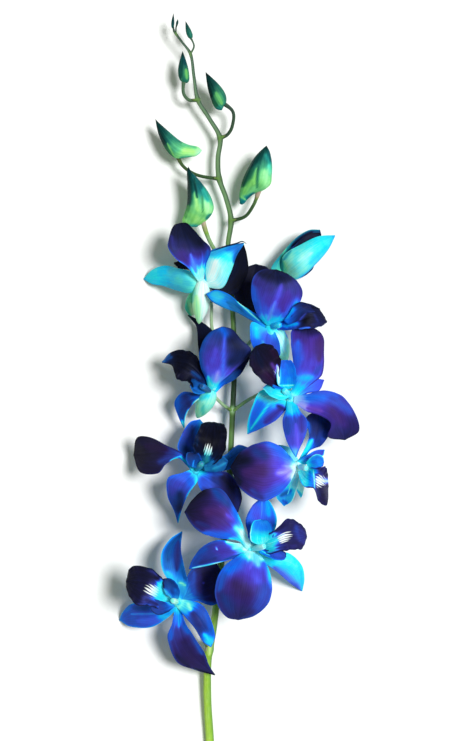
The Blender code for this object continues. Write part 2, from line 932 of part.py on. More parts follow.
def build_bloom(bloom, paint):
    name = bloom["name"]
    middle = at(*bloom["middle"])
    chin_tip, chin_radius = bloom["chin"]
    hub = ball(name + "_hub", middle, HUB_RADIUS, paint["sepal"])
    chin = spindle(
        name + "_chin",
        [middle - (at(*chin_tip) - middle).normalized() * 2, at(*chin_tip)],
        chin_radius,
        chin_profile,
        paint["sepal"],
        sides=8,
        rings=7,
    )
    sepals = [hub, chin]
    for kind, part, midrib, left, right, stand in bloom["organs"]:
        first = at(*midrib[0])
        if kind == "petal":
            front = 1 if midrib[0][2] > bloom["middle"][2] else -1
            base = anchored(middle, first, HUB_RADIUS + GAP, front * PETAL_LIFT)
        else:
            base = anchored(middle, first, 0.8)
        surface = blade_surface(kind, base, midrib, left, right, **stand)
        obj = blade(f"{name}_{part}", kind, surface, paint[kind])
        if kind == "sepal":
            sepals.append(obj)
    fused(name + "_sepals", sepals, paint["sepal"])

    midrib, left, right, stand = bloom["lip"]
    base = anchored(middle, at(*midrib[0]), HUB_RADIUS + GAP, -LIP_DROP)
    surface = blade_surface("lip", base, midrib, left, right, **stand)
    blade(name + "_lip", "lip", surface, paint["lip"])

    lift = bloom.get("column_lift", COLUMN_LIFT)
    tip = at(*bloom["column"]) + UP * lift
    foot = anchored(middle, at(*bloom["column"]), HUB_RADIUS + GAP, lift)
    spindle(
        name + "_column",
        [foot, tip],
        COLUMN_RADIUS,
        column_profile,
        paint["column"],
        sides=8,
        rings=6,
    )


def chin_profile(t):
    return max(math.sin(math.pi * t**0.8) ** 0.7, 0.05)


def column_profile(t):
    return max(math.sin(math.pi * t) ** 0.45, 0.05)


def bud_profile(t):
    """Round at the base, widest at a third of the length, and drawn out to a point."""
    return max(math.sin(math.pi * max(t, 0.0) ** 0.62) ** 0.95, 0.03)


def outlined(name, outline, material, sides=10):
    """A solid whose rings span the outline's edges, from a ball whose points are moved."""
    form = bmesh.new()
    bmesh.ops.create_uvsphere(form, u_segments=sides, v_segments=len(outline) - 1, radius=1)
    for corner in form.verts:
        latitude = math.acos(max(-1.0, min(1.0, -corner.co.z))) / math.pi
        left, right, height, thick = outline[round(latitude * (len(outline) - 1))]
        left, right = at(*left, height), at(*right, height)
        angle = math.atan2(corner.co.y, corner.co.x)
        point = (left + right) / 2 + (right - left) / 2 * math.cos(angle) + UP * thick * math.sin(angle)
        corner.co = point * MM
    if form.calc_volume(signed=True) < 0:
        bmesh.ops.reverse_faces(form, faces=form.faces)
    return shown(name, mesh_of(name, form), material)


def build_bud(bud, paint):
    name, tip, base, radius, chin, _, _ = bud
    if name in BUD_OUTLINES:
        return outlined(name, BUD_OUTLINES[name], paint["bud"])
    tip, base = at(*tip), at(*base)
    reach = (at(*chin) - base) if chin else Vector()
    reach_way = reach.normalized() if chin else Vector()

    def chinned(t, out):
        if not chin:
            return Vector()
        towards = max(out.dot(reach_way), 0.0) ** 2
        low = math.exp(-(((t - 0.10) / 0.20) ** 2))
        body = radius * bud_profile(t)
        return reach * towards * low * max(1 - body * 0.6 / max(reach.length, 1), 0.15)

    small = radius < 1.5
    return spindle(
        name,
        [base, (base + tip) / 2, tip],
        radius,
        bud_profile,
        paint["bud"],
        sides=6 if small else 10,
        rings=6 if small else 10,
        shape=chinned,
    )


def stalk_of(name, start, way, end, radius, paint):
    """A pedicel from the stem to a bloom or bud, thinnest in its middle."""
    return tube(name, [start, *way, end], [radius * 1.25, radius, radius, radius * 1.3], paint, 1, 7)


def meeting(target, start, towards, radius):
    """Where a stalk of this radius, on its way from start, comes within GAP of the target."""
    ahead = (towards - start).normalized()
    side = UP.cross(ahead).normalized()
    above = ahead.cross(side)
    reaches = []
    for i in range(9):
        turn = math.tau * i / 8
        out = (side * math.cos(turn) + above * math.sin(turn)) * (radius if i < 8 else 0)
        hit, spot, _, _ = target.ray_cast((start + out) * MM, ahead)
        if hit:
            reaches.append((spot / MM - start - out).length)
    return start + ahead * (min(reaches) - GAP)


def build_stem(paint):
    """The stem with its stalks fused to it, pressed flat where it lies on the table."""
    line = [at(*p) for p, _ in RACHIS]
    radii = [STEM_RADIUS * r for _, r in RACHIS]
    pieces = [tube("rachis", line, radii, paint["stem"], 2, 56)]
    stalks = [
        (bloom["name"] + "_sepals", bloom["middle"], bloom["stalk"], bloom["joint"], PEDICEL_RADIUS)
        for bloom in BLOOMS
    ]
    stalks.append(
        ("opening_bloom", OPENING["middle"], OPENING["stalk"], OPENING["joint"], PEDICEL_RADIUS)
    )
    for name, tip, base, radius, _, joint, way in BUDS:
        if joint is not None:
            thick = min(PEDICEL_RADIUS, max(radius * 0.32, 0.42))
            stalks.append((name, [b + (t - b) * 0.25 for b, t in zip(base, tip)], way, joint, thick))
    bpy.context.view_layer.update()
    for name, goal, way, joint, thick in stalks:
        points = [at(*p) for p in way]
        target = bpy.data.objects[name]
        end = meeting(target, points[0], at(*goal), thick * 1.3)
        points = [stem_point(joint), *points[::-1]]
        pieces.append(stalk_of(name + "_stalk", points[0], points[1:], end, thick, paint["stem"]))
    stem = fused("flower_stem", pieces, paint["stem"])
    press_flat(stem)
    return stem


def press_flat(stem):
    """Cuts away what would lie below the table, which leaves a flat spot under the cut end."""
    form = bmesh.new()
    bmesh.ops.create_cube(form, size=1)
    bmesh.ops.scale(form, vec=Vector((0.4, 0.8, 0.02)), verts=form.verts)
    bmesh.ops.translate(form, vec=Vector((0, 0, -0.01)), verts=form.verts)
    table = bpy.data.objects.new("table_cutter", mesh_of("table_cutter", form))
    bpy.data.collections["cutters"].objects.link(table)
    table.hide_render = True
    table.display_type = "WIRE"
    cut = stem.modifiers.new("flat", "BOOLEAN")
    cut.operation = "DIFFERENCE"
    cut.solver = "EXACT"
    cut.object = table


def build_opening(paint):
    middle = at(*OPENING["middle"])
    hub = ball("opening_hub", middle, HUB_RADIUS, paint["sepal"])
    pieces = [hub]
    for kind, part, midrib, left, right, stand in OPENING["organs"]:
        base = anchored(middle, at(*midrib[0]), 0.8)
        surface = blade_surface(kind, base, midrib, left, right, **stand)
        pieces.append(blade(f"opening_{part}", kind, surface, paint[kind]))
    fused("opening_bloom", pieces, paint["sepal"])


def main():
    for obj in list(bpy.data.objects):
        bpy.data.objects.remove(obj)
    for name in ("dendrobium_spray", "cutters"):
        group = bpy.data.collections.new(name)
        bpy.context.scene.collection.children.link(group)
    paint = {
        "stem": material_of("stem_green", GREEN, 0.45),
        "bud": material_of("bud_green", BUD_GREEN, 0.35),
        "sepal": material_of("sepal_blue", SEPAL_BLUE, 0.45),
        "petal": material_of("petal_violet", PETAL_VIOLET, 0.45),
        "lip": material_of("lip_navy", LIP_NAVY, 0.4),
        "column": material_of("column_white", COLUMN_WHITE, 0.35),
    }
    for bud in BUDS:
        build_bud(bud, paint)
    build_opening(paint)
    for bloom in BLOOMS:
        build_bloom(bloom, paint)
    build_stem(paint)


main()
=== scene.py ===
"""The looks of a cut spray of blue dendrobium orchid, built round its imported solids.

Each organ is laid out as the solids are: by the points of a 467 x 741 picture, seen from straight above, that
it lies under, and by its height above the table in millimetres. at() turns both into a place in space. The
colours come from shader nodes, which read values kept in each mesh, above all tone, from 0, white, to 1,
nearly black, and hue, from -1, green, through 0, blue, and 1, violet, to 2, plum.
"""

import math
from collections import namedtuple

import bpy
import mathutils
import numpy as np
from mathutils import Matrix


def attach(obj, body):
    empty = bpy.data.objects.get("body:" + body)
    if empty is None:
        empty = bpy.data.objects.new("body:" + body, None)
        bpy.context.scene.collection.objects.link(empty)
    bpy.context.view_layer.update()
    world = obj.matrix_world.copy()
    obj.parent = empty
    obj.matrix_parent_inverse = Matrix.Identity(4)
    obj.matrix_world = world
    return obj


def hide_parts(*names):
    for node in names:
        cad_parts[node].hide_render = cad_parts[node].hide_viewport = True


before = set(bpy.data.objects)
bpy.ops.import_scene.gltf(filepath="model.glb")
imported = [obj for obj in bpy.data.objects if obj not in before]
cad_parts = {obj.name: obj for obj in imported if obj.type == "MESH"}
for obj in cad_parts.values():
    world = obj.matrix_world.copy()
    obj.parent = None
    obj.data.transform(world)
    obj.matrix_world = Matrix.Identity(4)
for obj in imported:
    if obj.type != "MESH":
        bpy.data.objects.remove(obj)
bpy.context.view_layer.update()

# The same driving dimensions as the solids have, in millimetres unless they say otherwise
MM = 0.001
PICTURE_SIZE = (467, 741)
PICTURE_CENTRE = np.array([233.5, 370.5])
MM_PER_PIXEL = 0.55  # at the height below
SCALE_HEIGHT = 20.0
EYE_HEIGHT = 1200.0
BOX_CENTRE = np.array([2.0, -34.0])
TABLE_CLEARANCE = 0.45
HUB_RADIUS = 3.0
STEM_RADIUS = 2.5
PEDICEL_RADIUS = 0.95
PETAL_LIFT = 1.2
LIP_DROP = 1.5
COLUMN_LIFT = 3.2
UP = np.array([0.0, 0.0, 1.0])

# How fine the round forms are: cells round and along
ROUND_GRIDS = {
    "hub": (24, 16),
    "chin": (32, 28),
    "roll": (12, 40),
    "column": (28, 24),
    "cap": (24, 16),
    "large_bud": (64, 84),
    "bud": (56, 56),
    "tiny_bud": (20, 20),
    "stem": (28, 420),
    "stalk": (16, 40),
}


# Places and curves


def at(point):
    """The places, in millimetres, that the picture shows at these points and heights."""
    point = np.asarray(point, float)
    scale = MM_PER_PIXEL * (EYE_HEIGHT - point[..., 2:]) / (EYE_HEIGHT - SCALE_HEIGHT)
    flat = (point[..., :2] - PICTURE_CENTRE) * scale * [1, -1] - BOX_CENTRE
    return np.concatenate([flat, point[..., 2:]], axis=-1)


def seen(place):
    """The picture points and heights of places: at() backwards."""
    scale = MM_PER_PIXEL * (EYE_HEIGHT - place[..., 2:]) / (EYE_HEIGHT - SCALE_HEIGHT)
    flat = (place[..., :2] + BOX_CENTRE) * [1, -1] / scale + PICTURE_CENTRE
    return np.concatenate([flat, place[..., 2:]], axis=-1)


def unit(v):
    return v / np.maximum(np.linalg.norm(v, axis=-1, keepdims=True), 1e-12)


def run_out(points):
    """The points, with one more at each end that carries the line on straight."""
    return np.vstack([points[0] * 2 - points[1], points, points[-1] * 2 - points[-2]])


def eased(a, leave, b, arrive, u):
    """Between a and b at the shares u, setting out as leave says and coming in as arrive says."""
    start = a * (2 * u**3 - 3 * u**2 + 1) + leave * (u**3 - 2 * u**2 + u)
    return start + b * (3 * u**2 - 2 * u**3) + arrive * (u**3 - u**2)


def curve_through(points):
    """A smooth curve through the points, as a function of shares of its length from 0 to 1."""
    points = np.array(points, float)
    spans = np.maximum(np.linalg.norm(np.diff(points, axis=0), axis=1), 1e-6)
    marks = np.concatenate([[0], np.cumsum(spans)])
    ends = run_out(points)
    before = np.concatenate([spans[:1], spans[:-1]])
    after = np.concatenate([spans[1:], spans[-1:]])

    def place(share):
        distance = np.clip(np.atleast_1d(share), 0, 1) * marks[-1]
        i = np.clip(np.searchsorted(marks, distance) - 1, 0, len(spans) - 1)
        span = spans[i]
        a, b = ends[i + 1], ends[i + 2]
        leave = (b - ends[i]) * (span / (before[i] + span))[:, None]
        arrive = (ends[i + 3] - a) * (span / (span + after[i]))[:, None]
        return eased(a, leave, b, arrive, ((distance - marks[i]) / span)[:, None])

    return place


def heading(place, share, step=0.02):
    """Which way a curve runs at these shares of its length."""
    share = np.atleast_1d(share)
    return unit(place(np.minimum(share + step, 1)) - place(np.maximum(share - step, 0)))


def between(knots, t, column=1):
    """The values at t of a smooth line through knots, whose first number is t and this column the value."""
    marks = np.array([knot[0] for knot in knots], float)
    values = np.array([knot[column] for knot in knots], float)
    t = np.clip(t, marks[0], marks[-1])
    i = np.clip(np.searchsorted(marks, t) - 1, 0, len(marks) - 2)
    u = (t - marks[i]) / (marks[i + 1] - marks[i])
    return values[i] + (values[i + 1] - values[i]) * u * u * (3 - 2 * u)


def bump(distance, width):
    return np.exp(-((distance / width) ** 2))


def arch(t):
    """0 at both ends of t and 1 in the middle."""
    return np.sin(math.pi * t)


# Forms: points, faces and the values that the shaders read, before they become a mesh

VALUES = ("tone", "hue", "across", "along", "fan")


class Form:
    """Meshes in the making, joined as they are added."""

    def __init__(self):
        self.points, self.faces, self.count = [], [], 0
        self.values = {name: [] for name in VALUES}

    def add(self, points, faces, **values):
        self.points.append(points)
        self.faces += [[c + self.count for c in face] for face in faces]
        self.count += len(points)
        for name in VALUES:
            given = np.broadcast_to(np.asarray(values.get(name, 0.0), float), (len(points),))
            self.values[name].append(given)

    def piece(self, name, material, slot, *nodes):
        """Makes the object, which rides on the spray and stands for these nodes of the solids."""
        mesh = bpy.data.meshes.new(name)
        mesh.from_pydata((np.concatenate(self.points) * MM).tolist(), [], self.faces)
        for key in VALUES:
            layer = mesh.attributes.new(key, "FLOAT", "POINT")
            layer.data.foreach_set("value", np.concatenate(self.values[key]).astype(np.float32))
        mesh.materials.append(material)
        mesh.shade_smooth()
        obj = bpy.data.objects.new(name, mesh)
        bpy.context.scene.collection.objects.link(obj)
        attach(obj, "root")
        if nodes:
            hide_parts(*nodes)


# Paint is a dict that says how an organ is coloured. knots are (share of the length, tone, hue). rims are
# (tone, hue, width) of its left and right edges. marks are soft strokes (x0, y0, x1, y1, width, tone, hue) at
# picture points, each laid over those before it. fan is a lip's white fan (x0, y0, x1, y1, width, strength).
# Some marks paint light and shade rather than colour: the comments beside them say which.

# The streaks between two colours: how far along they reach as a share of the length, where they are longest,
# and the size, count and turn of the waves that they are made of
FEATHER = 0.022
FEATHER_MIDDLE = 0.4
FEATHER_WAVES = ((1.0, 17, 2), (0.7, 29, 1), (0.5, 43, 0))
# Strokes longer than half this many widths slim toward their ends, by up to this share of their width
LONG_STROKE, STROKE_TAPER = 3, 0.65
# How sharply a rim gives way at the midrib, how soon it sets in along the organ, and from where
RIM_SIDES, RIM_ONSET, RIM_START = 4, 6, 0.3
# How soon a lip's fan sets in, how soon it fades toward the end of its line, and how far it spreads
FAN_ONSET, FAN_FADE, FAN_SPREAD = 5, 1.7, 1.6


def stroke(spots, x0, y0, x1, y1, width):
    """How much of a stroke's colour each of these picture points takes."""
    start = np.array([x0, y0], float)
    way = np.array([x1, y1], float) - start
    length = max(float(way @ way), 1e-9)
    u = np.clip(((spots - start) @ way) / length, 0, 1)
    slim = np.clip(math.sqrt(length) / width / LONG_STROKE - 0.5, 0, 1)
    taper = 1 - slim * STROKE_TAPER * (1 - np.sqrt(np.clip(arch(u), 0, 1)))
    return bump(np.linalg.norm(spots - start - u[..., None] * way, axis=-1), width * taper)


def painted(spots, t, paint, sides=None, edge_distance=None):
    """Tone and hue at these picture points, which lie at the shares t of an organ's length."""
    if sides is not None:
        waves = sum(size * np.sin(count * sides + turn) for size, count, turn in FEATHER_WAVES)
        t = t + FEATHER * waves * bump(t - FEATHER_MIDDLE, FEATHER_MIDDLE)
    tone, hue = between(paint["knots"], t, 1), between(paint["knots"], t, 2)
    for sign, (rim_tone, rim_hue, width) in zip((-1, 1), paint.get("rims", ())):
        share = bump(edge_distance, width) * np.clip(sides * sign * RIM_SIDES, 0, 1)
        share = share * np.clip(t * RIM_ONSET - RIM_START, 0, 1)
        tone = tone + (rim_tone - tone) * share
        hue = hue + (rim_hue - hue) * share
    for *line, mark_tone, mark_hue in paint.get("marks", ()):
        share = stroke(spots, *line)
        tone = tone + (mark_tone - tone) * share
        hue = hue + (mark_hue - hue) * share
    return tone, hue


def fan_strength(spots, fan):
    """How strongly a lip's white fan shows at these picture points: most along its line."""
    x0, y0, x1, y1, width, strength = fan
    foot = np.array([x0, y0], float)
    way = np.array([x1, y1], float) - foot
    u = ((spots - foot) @ way) / float(way @ way)
    off = np.linalg.norm(spots - foot - u[..., None] * way, axis=-1)
    along = np.clip(u * FAN_ONSET, 0, 1) * np.clip((1.0 - u) * FAN_FADE, 0, 1)
    return strength * along * np.clip(FAN_SPREAD - off / width, 0, 1)


# Blades, the thin organs. A blade's grid is its cells across and along, and its foot's width is in picture
# points. Then, in millimetres, come its thickness, the depth of its midrib's groove, and how far the frill of
# its edge stands up and out, with how many frills there are.

Kind = namedtuple("Kind", "grid foot_width thickness groove frill_up frill_out frills")
KINDS = {
    "petal": Kind((36, 52), 6.0, 0.55, 0.45, 0.22, 0.12, 4.0),
    "sepal": Kind((28, 44), 9.0, 0.6, 0.55, 0.12, 0.05, 2.5),
    "lip": Kind((56, 60), 8.0, 0.5, 0.3, 0.8, 0.4, 6.5),
    "lobe": Kind((24, 26), 6.0, 0.45, 0.0, 0.25, 0.15, 4.0),
    "scale": Kind((10, 12), 3.0, 0.3, 0.0, 0.0, 0.0, 1.0),
}
TIP_WIDTH = 1.0
# Blades, chins and rolled edges are fullest a little before their middle: the power of t that does this
FULLEST = 0.8
# A lip's sides stand up at its foot and fold down at its tip
LIP_RISES = [(0, 0.3), (0.3, 1.0), (0.55, 0.45), (0.75, 0.05), (1, -0.5)]
# A lip's three keels: how far aside each is and its width. Then how high they stand, where, and how far on.
LIP_KEELS = ((0.16, 0.07), (-0.16, 0.07), (0.0, 0.05))
KEEL_HEIGHT, KEEL_PLACE, KEEL_REACH = 0.7, 0.33, 0.2
# The cells across are finer toward the edges, by this share of a quarter turn
EDGE_CROWDING = 0.94
# Each seed turns the waves by this much, in radians
SEED_TURN = 2.399
# How far the frills crowd together and draw apart, and how often
UNEVEN_REACH, UNEVEN_COUNT = 0.05, 9
# The finer frills that ride on the others: their size and how many times as many there are, out and up
FINE_OUT, FINE_OUT_COUNT = 0.35, 1.7
FINE_UP, FINE_UP_COUNT = 0.4, 1.6
# The broad waves of a blade's sides, and the slow ones of its whole face
WAVE_COUNT, WAVE_SKEW = 2.2, 0.3
SLOW_HEIGHT, SLOW_COUNT, SLOW_SIDEWAYS = 0.35, 1.15, 1.7
FRILL_SKEW = 0.15
# Lobes and scales have this share of the slow waves
SMALL_KINDS, SMALL_SHARE = ("lobe", "scale"), 0.5
# How soon before the tip waves and frills end
WAVE_END, FRILL_END = 1.1, 1.05
# The powers of the distance from the midrib with which waves and frills grow
WAVE_EDGE, FRILL_EDGE = 2.5, 3.5
GROOVE_WIDTH, GROOVE_FADE, GROOVE_ONSET, GROOVE_FILL = 0.07, 0.6, 6, 0.5
# Thickness: an edge's as a share of the middle's, how sudden the edge is, and how it falls from foot to tip
EDGE_THICKNESS, EDGE_POWER = 0.25, 6
FOOT_THICKNESS, THICKNESS_FALL = 1.25, 0.45
# Where a tip has thinned to nothing, as a share of the length, how suddenly it thins, and where its rim ends
TIP_END, TIP_FALL, RIM_END = 1.02, 12, 1.03
# A petal's edge is darker toward the tip, by this tone over this width, and its rims fade out there
PETAL_EDGE_TONE, PETAL_EDGE_WIDTH, PETAL_RIM_FADE = 0.14, 1.3, 1.6
# A blade's back beside its face: tone and hue times the first, less the second
BACK_TONE, BACK_HUE = (0.86, 0.02), (0.8, 0.05)

# An organ: its kind and name, the points that its midrib runs through after its foot, those of its left and
# right edges, which the midrib's last point also ends, how its edges stand, and its paint. Left is that of a
# walk to the tip. rise lifts both edges, tilt lifts the right one over the left, and wave ripples them.
Organ = namedtuple("Organ", "kind part midrib left right foot rise tilt wave paint")


def blade_edge(kind, middle, ribs, points, sign, t, phase):
    """One edge in picture points: a smooth curve from the foot's corner to the tip's, with small ripples."""
    corners = []
    for share, width in ((0.0, kind.foot_width), (1.0, TIP_WIDTH)):
        ahead = heading(middle, share)[0]
        side = unit(np.array([-ahead[1], ahead[0]]))
        corners.append(side * sign * width / 2)
    line = np.vstack([ribs[0, :2] + corners[0], np.array(points, float), ribs[-1, :2] + corners[1]])
    edge = curve_through(line)(t)
    out = unit(edge - middle(t)[:, :2])
    uneven = t + UNEVEN_REACH * np.sin(UNEVEN_COUNT * t + phase)
    ripple = np.sin(math.tau * kind.frills * uneven + phase + sign) * arch(t) ** 0.5
    ripple += FINE_OUT * np.sin(math.tau * kind.frills * FINE_OUT_COUNT * uneven + 2 * phase)
    return edge + out * (kind.frill_out * ripple)[:, None]


def blade_height(organ, centre, t, sides, phase):
    """How high the blade's middle surface stands, and how deep its groove is: t runs down, sides across."""
    kind = KINDS[organ.kind]
    swell = arch(t**FULLEST)
    cup = between(LIP_RISES, t) if organ.kind == "lip" else swell
    height = centre + organ.rise * cup * sides**2 + organ.tilt / 2 * sides * swell
    wave = np.sin(math.tau * (WAVE_COUNT * t + WAVE_SKEW * sides)) * np.abs(sides) ** WAVE_EDGE
    height = height + organ.wave * wave * arch(np.minimum(t * WAVE_END, 1))
    slow = np.sin(SLOW_COUNT * math.tau * t + phase) * np.sin(SLOW_SIDEWAYS * sides + phase * 1.3)
    height = height + SLOW_HEIGHT * slow * swell * (SMALL_SHARE if organ.kind in SMALL_KINDS else 1)
    uneven = t + UNEVEN_REACH * np.sin(UNEVEN_COUNT * t + phase + sides)
    frill = np.sin(math.tau * (kind.frills * uneven + FRILL_SKEW * sides) + phase)
    frill = frill + FINE_UP * np.sin(math.tau * kind.frills * FINE_UP_COUNT * uneven + phase * 3 + sides)
    ruffle = np.abs(sides) ** FRILL_EDGE * arch(np.minimum(t * FRILL_END, 1)) ** 0.5
    height = height + kind.frill_up * frill * ruffle
    groove = kind.groove * bump(sides, GROOVE_WIDTH)
    groove = groove * (1 - t) ** GROOVE_FADE * np.minimum(t * GROOVE_ONSET, 1)
    height = height - groove
    if organ.kind == "lip":
        keels = sum(bump(sides - aside, width) for aside, width in LIP_KEELS)
        height = height + KEEL_HEIGHT * keels * bump(t - KEEL_PLACE, KEEL_REACH)
    return np.maximum(height, TABLE_CLEARANCE), groove


def sheet_faces(along, across):
    """The faces of a closed sheet: its upper points row by row, and then its lower ones the same way."""
    columns = across + 1
    n = (along + 1) * columns
    i, j = np.meshgrid(np.arange(along), np.arange(across), indexing="ij")
    a = (i * columns + j).ravel()
    quads = np.stack([a, a + 1, a + columns + 1, a + columns], axis=1)
    faces = quads.tolist() + (quads[:, ::-1] + n).tolist()
    for row in range(along):
        k, m = row * columns, row * columns + across
        faces.append([k, k + columns, k + columns + n, k + n])
        faces.append([m + columns, m, m + n, m + columns + n])
    for k in range(across):
        m = along * columns + k
        faces.append([k + 1, k, k + n, k + 1 + n])
        faces.append([m, m + 1, m + 1 + n, m + n])
    return faces


def add_blade(form, organ, base, seed):
    """A thin organ through the same midrib and edges as its solid, with a groove, frills and thin edges."""
    kind = KINDS[organ.kind]
    across, along = kind.grid
    phase = seed * SEED_TURN
    ribs = np.vstack([seen(base), np.array(organ.midrib, float)])
    middle = curve_through(ribs)
    line = np.linspace(0, 1, along + 1)
    left = blade_edge(kind, middle, ribs, organ.left, -1, line, phase)
    right = blade_edge(kind, middle, ribs, organ.right, 1, line, phase)
    quarter = math.pi / 2 * EDGE_CROWDING
    sides = (np.sin(np.linspace(-1, 1, across + 1) * quarter) / math.sin(quarter))[None, :]
    t = line[:, None]

    centre = middle(line)
    edge = np.where((sides > 0)[..., None], right[:, None, :], left[:, None, :])
    reach = edge - centre[:, None, :2]
    spots = centre[:, None, :2] + reach * np.abs(sides)[..., None]
    height, groove = blade_height(organ, centre[:, 2:3], t, sides, phase)
    surface = at(np.concatenate([spots, height[..., None]], axis=-1))
    normal = unit(np.cross(np.gradient(surface, axis=1), np.gradient(surface, axis=0)))
    thin = np.sqrt(np.clip(1 - np.abs(sides) ** EDGE_POWER, 0, 1))
    thin = thin * np.clip((TIP_END - t) * TIP_FALL, 0, 1) ** 0.5
    thick = kind.thickness * (EDGE_THICKNESS + (1 - EDGE_THICKNESS) * thin)
    thick = thick * (FOOT_THICKNESS - THICKNESS_FALL * t) + GROOVE_FILL * groove
    offset = normal * (thick / 2)[..., None]

    from_edge = (1 - np.abs(sides)) * np.linalg.norm(reach, axis=-1)
    from_rim = np.minimum(from_edge, (RIM_END - t) * np.linalg.norm(ribs[-1] - ribs[0]))
    if organ.kind == "petal":
        from_rim = from_rim + PETAL_RIM_FADE * t**2
    t, sides = np.broadcast_to(t, from_edge.shape), np.broadcast_to(sides, from_edge.shape)
    tone, hue = painted(spots, t, organ.paint, sides, from_rim)
    if organ.kind == "petal":
        tone = tone + PETAL_EDGE_TONE * bump(from_edge, PETAL_EDGE_WIDTH) * t**3
    fan = fan_strength(spots, organ.paint["fan"]) if "fan" in organ.paint else np.zeros(t.shape)
    form.add(
        np.concatenate([(surface + offset).reshape(-1, 3), (surface - offset).reshape(-1, 3)]),
        sheet_faces(along, across),
        tone=np.concatenate([tone.ravel(), tone.ravel() * BACK_TONE[0] - BACK_TONE[1]]),
        hue=np.concatenate([hue.ravel(), hue.ravel() * BACK_HUE[0] - BACK_HUE[1]]),
        across=np.tile(sides.ravel(), 2),
        along=np.tile(t.ravel(), 2),
        fan=np.concatenate([fan.ravel(), np.zeros(fan.size)]),
    )


# Rods and skins: closed forms of round section


def add_skin(form, spots, t, angle, paint, rounded=None):
    """Closes rings of spots into a form, and paints it. rounded(t, angle) adds to its tone."""
    rings, sides = len(spots) - 1, spots.shape[1]
    i, j = np.meshgrid(np.arange(rings), np.arange(sides), indexing="ij")
    a, b = (i * sides + j).ravel(), (i * sides + (j + 1) % sides).ravel()
    faces = np.stack([a, b, b + sides, a + sides], axis=1).tolist()
    first, last = len(spots) * sides, len(spots) * sides + 1
    for k in range(sides):
        after = (k + 1) % sides
        faces.append([first, after, k])
        faces.append([last, rings * sides + k, rings * sides + after])
    every = np.concatenate([spots.reshape(-1, 3), [spots[0].mean(0), spots[-1].mean(0)]])
    along = np.concatenate([t.ravel(), [0, 1]])
    across = np.concatenate([angle.ravel() / math.pi - 1, [0, 0]])
    tone, hue = painted(seen(every)[:, :2], along, paint)
    if rounded:
        tone = tone + rounded(along, (across + 1) * math.pi)
    form.add(every, faces, tone=tone, hue=hue, across=across, along=along)


def add_rod(form, grid, points, radius, paint, shape=None, rounded=None, level=None):
    """A closed form of round section along a curve. radius(t) is its radius, shape(t, angle, out) gives what
    is added to each point, and no point lies below the level."""
    sides, rings = ROUND_GRIDS[grid]
    line = curve_through(points)
    t = np.linspace(0, 1, rings + 1)
    ahead = heading(line, t)
    side = unit(np.cross(UP, ahead))
    above = np.cross(ahead, side)
    angle = np.arange(sides) * math.tau / sides
    out = side[:, None] * np.cos(angle)[None, :, None] + above[:, None] * np.sin(angle)[None, :, None]
    spots = line(t)[:, None] + out * radius(t)[:, None, None]
    t, angle = np.meshgrid(t, angle, indexing="ij")
    if shape:
        spots = spots + shape(t, angle, out)
    if level is not None:
        spots[..., 2] = np.maximum(spots[..., 2], level)
    add_skin(form, spots, t, angle, paint, rounded)


def ball(radius):
    """The radius along a rod that makes it a ball, drawn out along its line."""
    return lambda t: radius * np.sqrt(np.clip(1 - (2 * t - 1) ** 2, 0, 1))


# The spray as it is laid out: what its blooms and buds are described by


class Bloom:
    """A bloom: its middle, the row of the picture where its stalk leaves the stem, the points that the stalk
    runs through from the bloom down, its column's tip, and its organs. Colours are (tone, hue)."""

    def __init__(
        self, name, middle, joint, stalk, column=None, column_lift=COLUMN_LIFT, column_colour=None,
        hub_colour=None, rolled_edge=(),
    ):
        self.name, self.middle, self.joint, self.stalk = name, middle, joint, stalk
        self.column, self.column_lift, self.column_colour = column, column_lift, column_colour
        self.hub_colour, self.rolled_edge = hub_colour, rolled_edge
        self.blades, self.lobes, self.lip = [], [], None

    def add_chin(self, tip, radius, **paint):
        self.chin_tip, self.chin_radius, self.chin_paint = tip, radius, paint

    def add(self, part, midrib, left, right, foot=None, rise=0, tilt=0, wave=0, **paint):
        organ = Organ(part.split("_")[0], part, midrib, left, right, foot, rise, tilt, wave, paint)
        if organ.kind == "lip":
            self.lip = organ
        elif organ.kind == "lobe":
            self.lobes.append(organ)
        else:
            self.blades.append(organ)


# How thick a stalk is along its way from the stem, as a share of its thickness, and its colour
STALK_SWELL = [(0, 1.25), (0.15, 1.0), (0.7, 0.95), (1, 1.35)]
STALK_KNOTS = [(0, 0.5, 0.4), (0.4, 0.3, 0.8), (1, 0.12, 1)]

# A closed bud: its greatest radius is in millimetres, and its knots run from the base to the tip. chin is the
# chin's tip. A large bud also has an outline, from the end of the chin to the tip: its left and right edge,
# their height, and half the thickness there. The first and the last are single points.
Bud = namedtuple(
    "Bud",
    "name tip base radius knots marks chin joint stalk stalk_knots stalk_swell outline",
    defaults=((), None, None, (), STALK_KNOTS, STALK_SWELL, None),
)

# The stem's line, from the cut end to the tip, with its thickness as a share of STEM_RADIUS
RACHIS = [
    ((211.5, 846, 2.15), 1), ((211.3, 800, 2.3), 0.98), ((209.8, 741, 2.9), 0.94), ((207.5, 700, 4.5), 0.88),
    ((208, 660, 7), 0.84), ((213, 630, 9), 0.8), ((218, 590, 10.5), 0.76), ((223, 545, 11.5), 0.72),
    ((228, 500, 12), 0.68), ((231, 445, 12), 0.62), ((232.5, 411, 12), 0.6), ((234, 380, 12), 0.58),
    ((234, 345, 12), 0.56), ((232.5, 310, 12), 0.55), ((229, 270, 11.5), 0.54), ((228, 245, 11), 0.54),
    ((231, 220, 11), 0.58), ((226, 198, 10.5), 0.54), ((219, 178, 10.5), 0.56), ((218, 158, 10.5), 0.54),
    ((220, 138, 11), 0.52), ((209, 118, 11), 0.46), ((198, 100, 11.5), 0.44), ((194, 77, 12), 0.34),
    ((190.5, 54, 12.5), 0.3), ((182, 42, 13), 0.24), ((174, 31, 13.5), 0.22), ((173.3, 27, 13.8), 0.18),
]

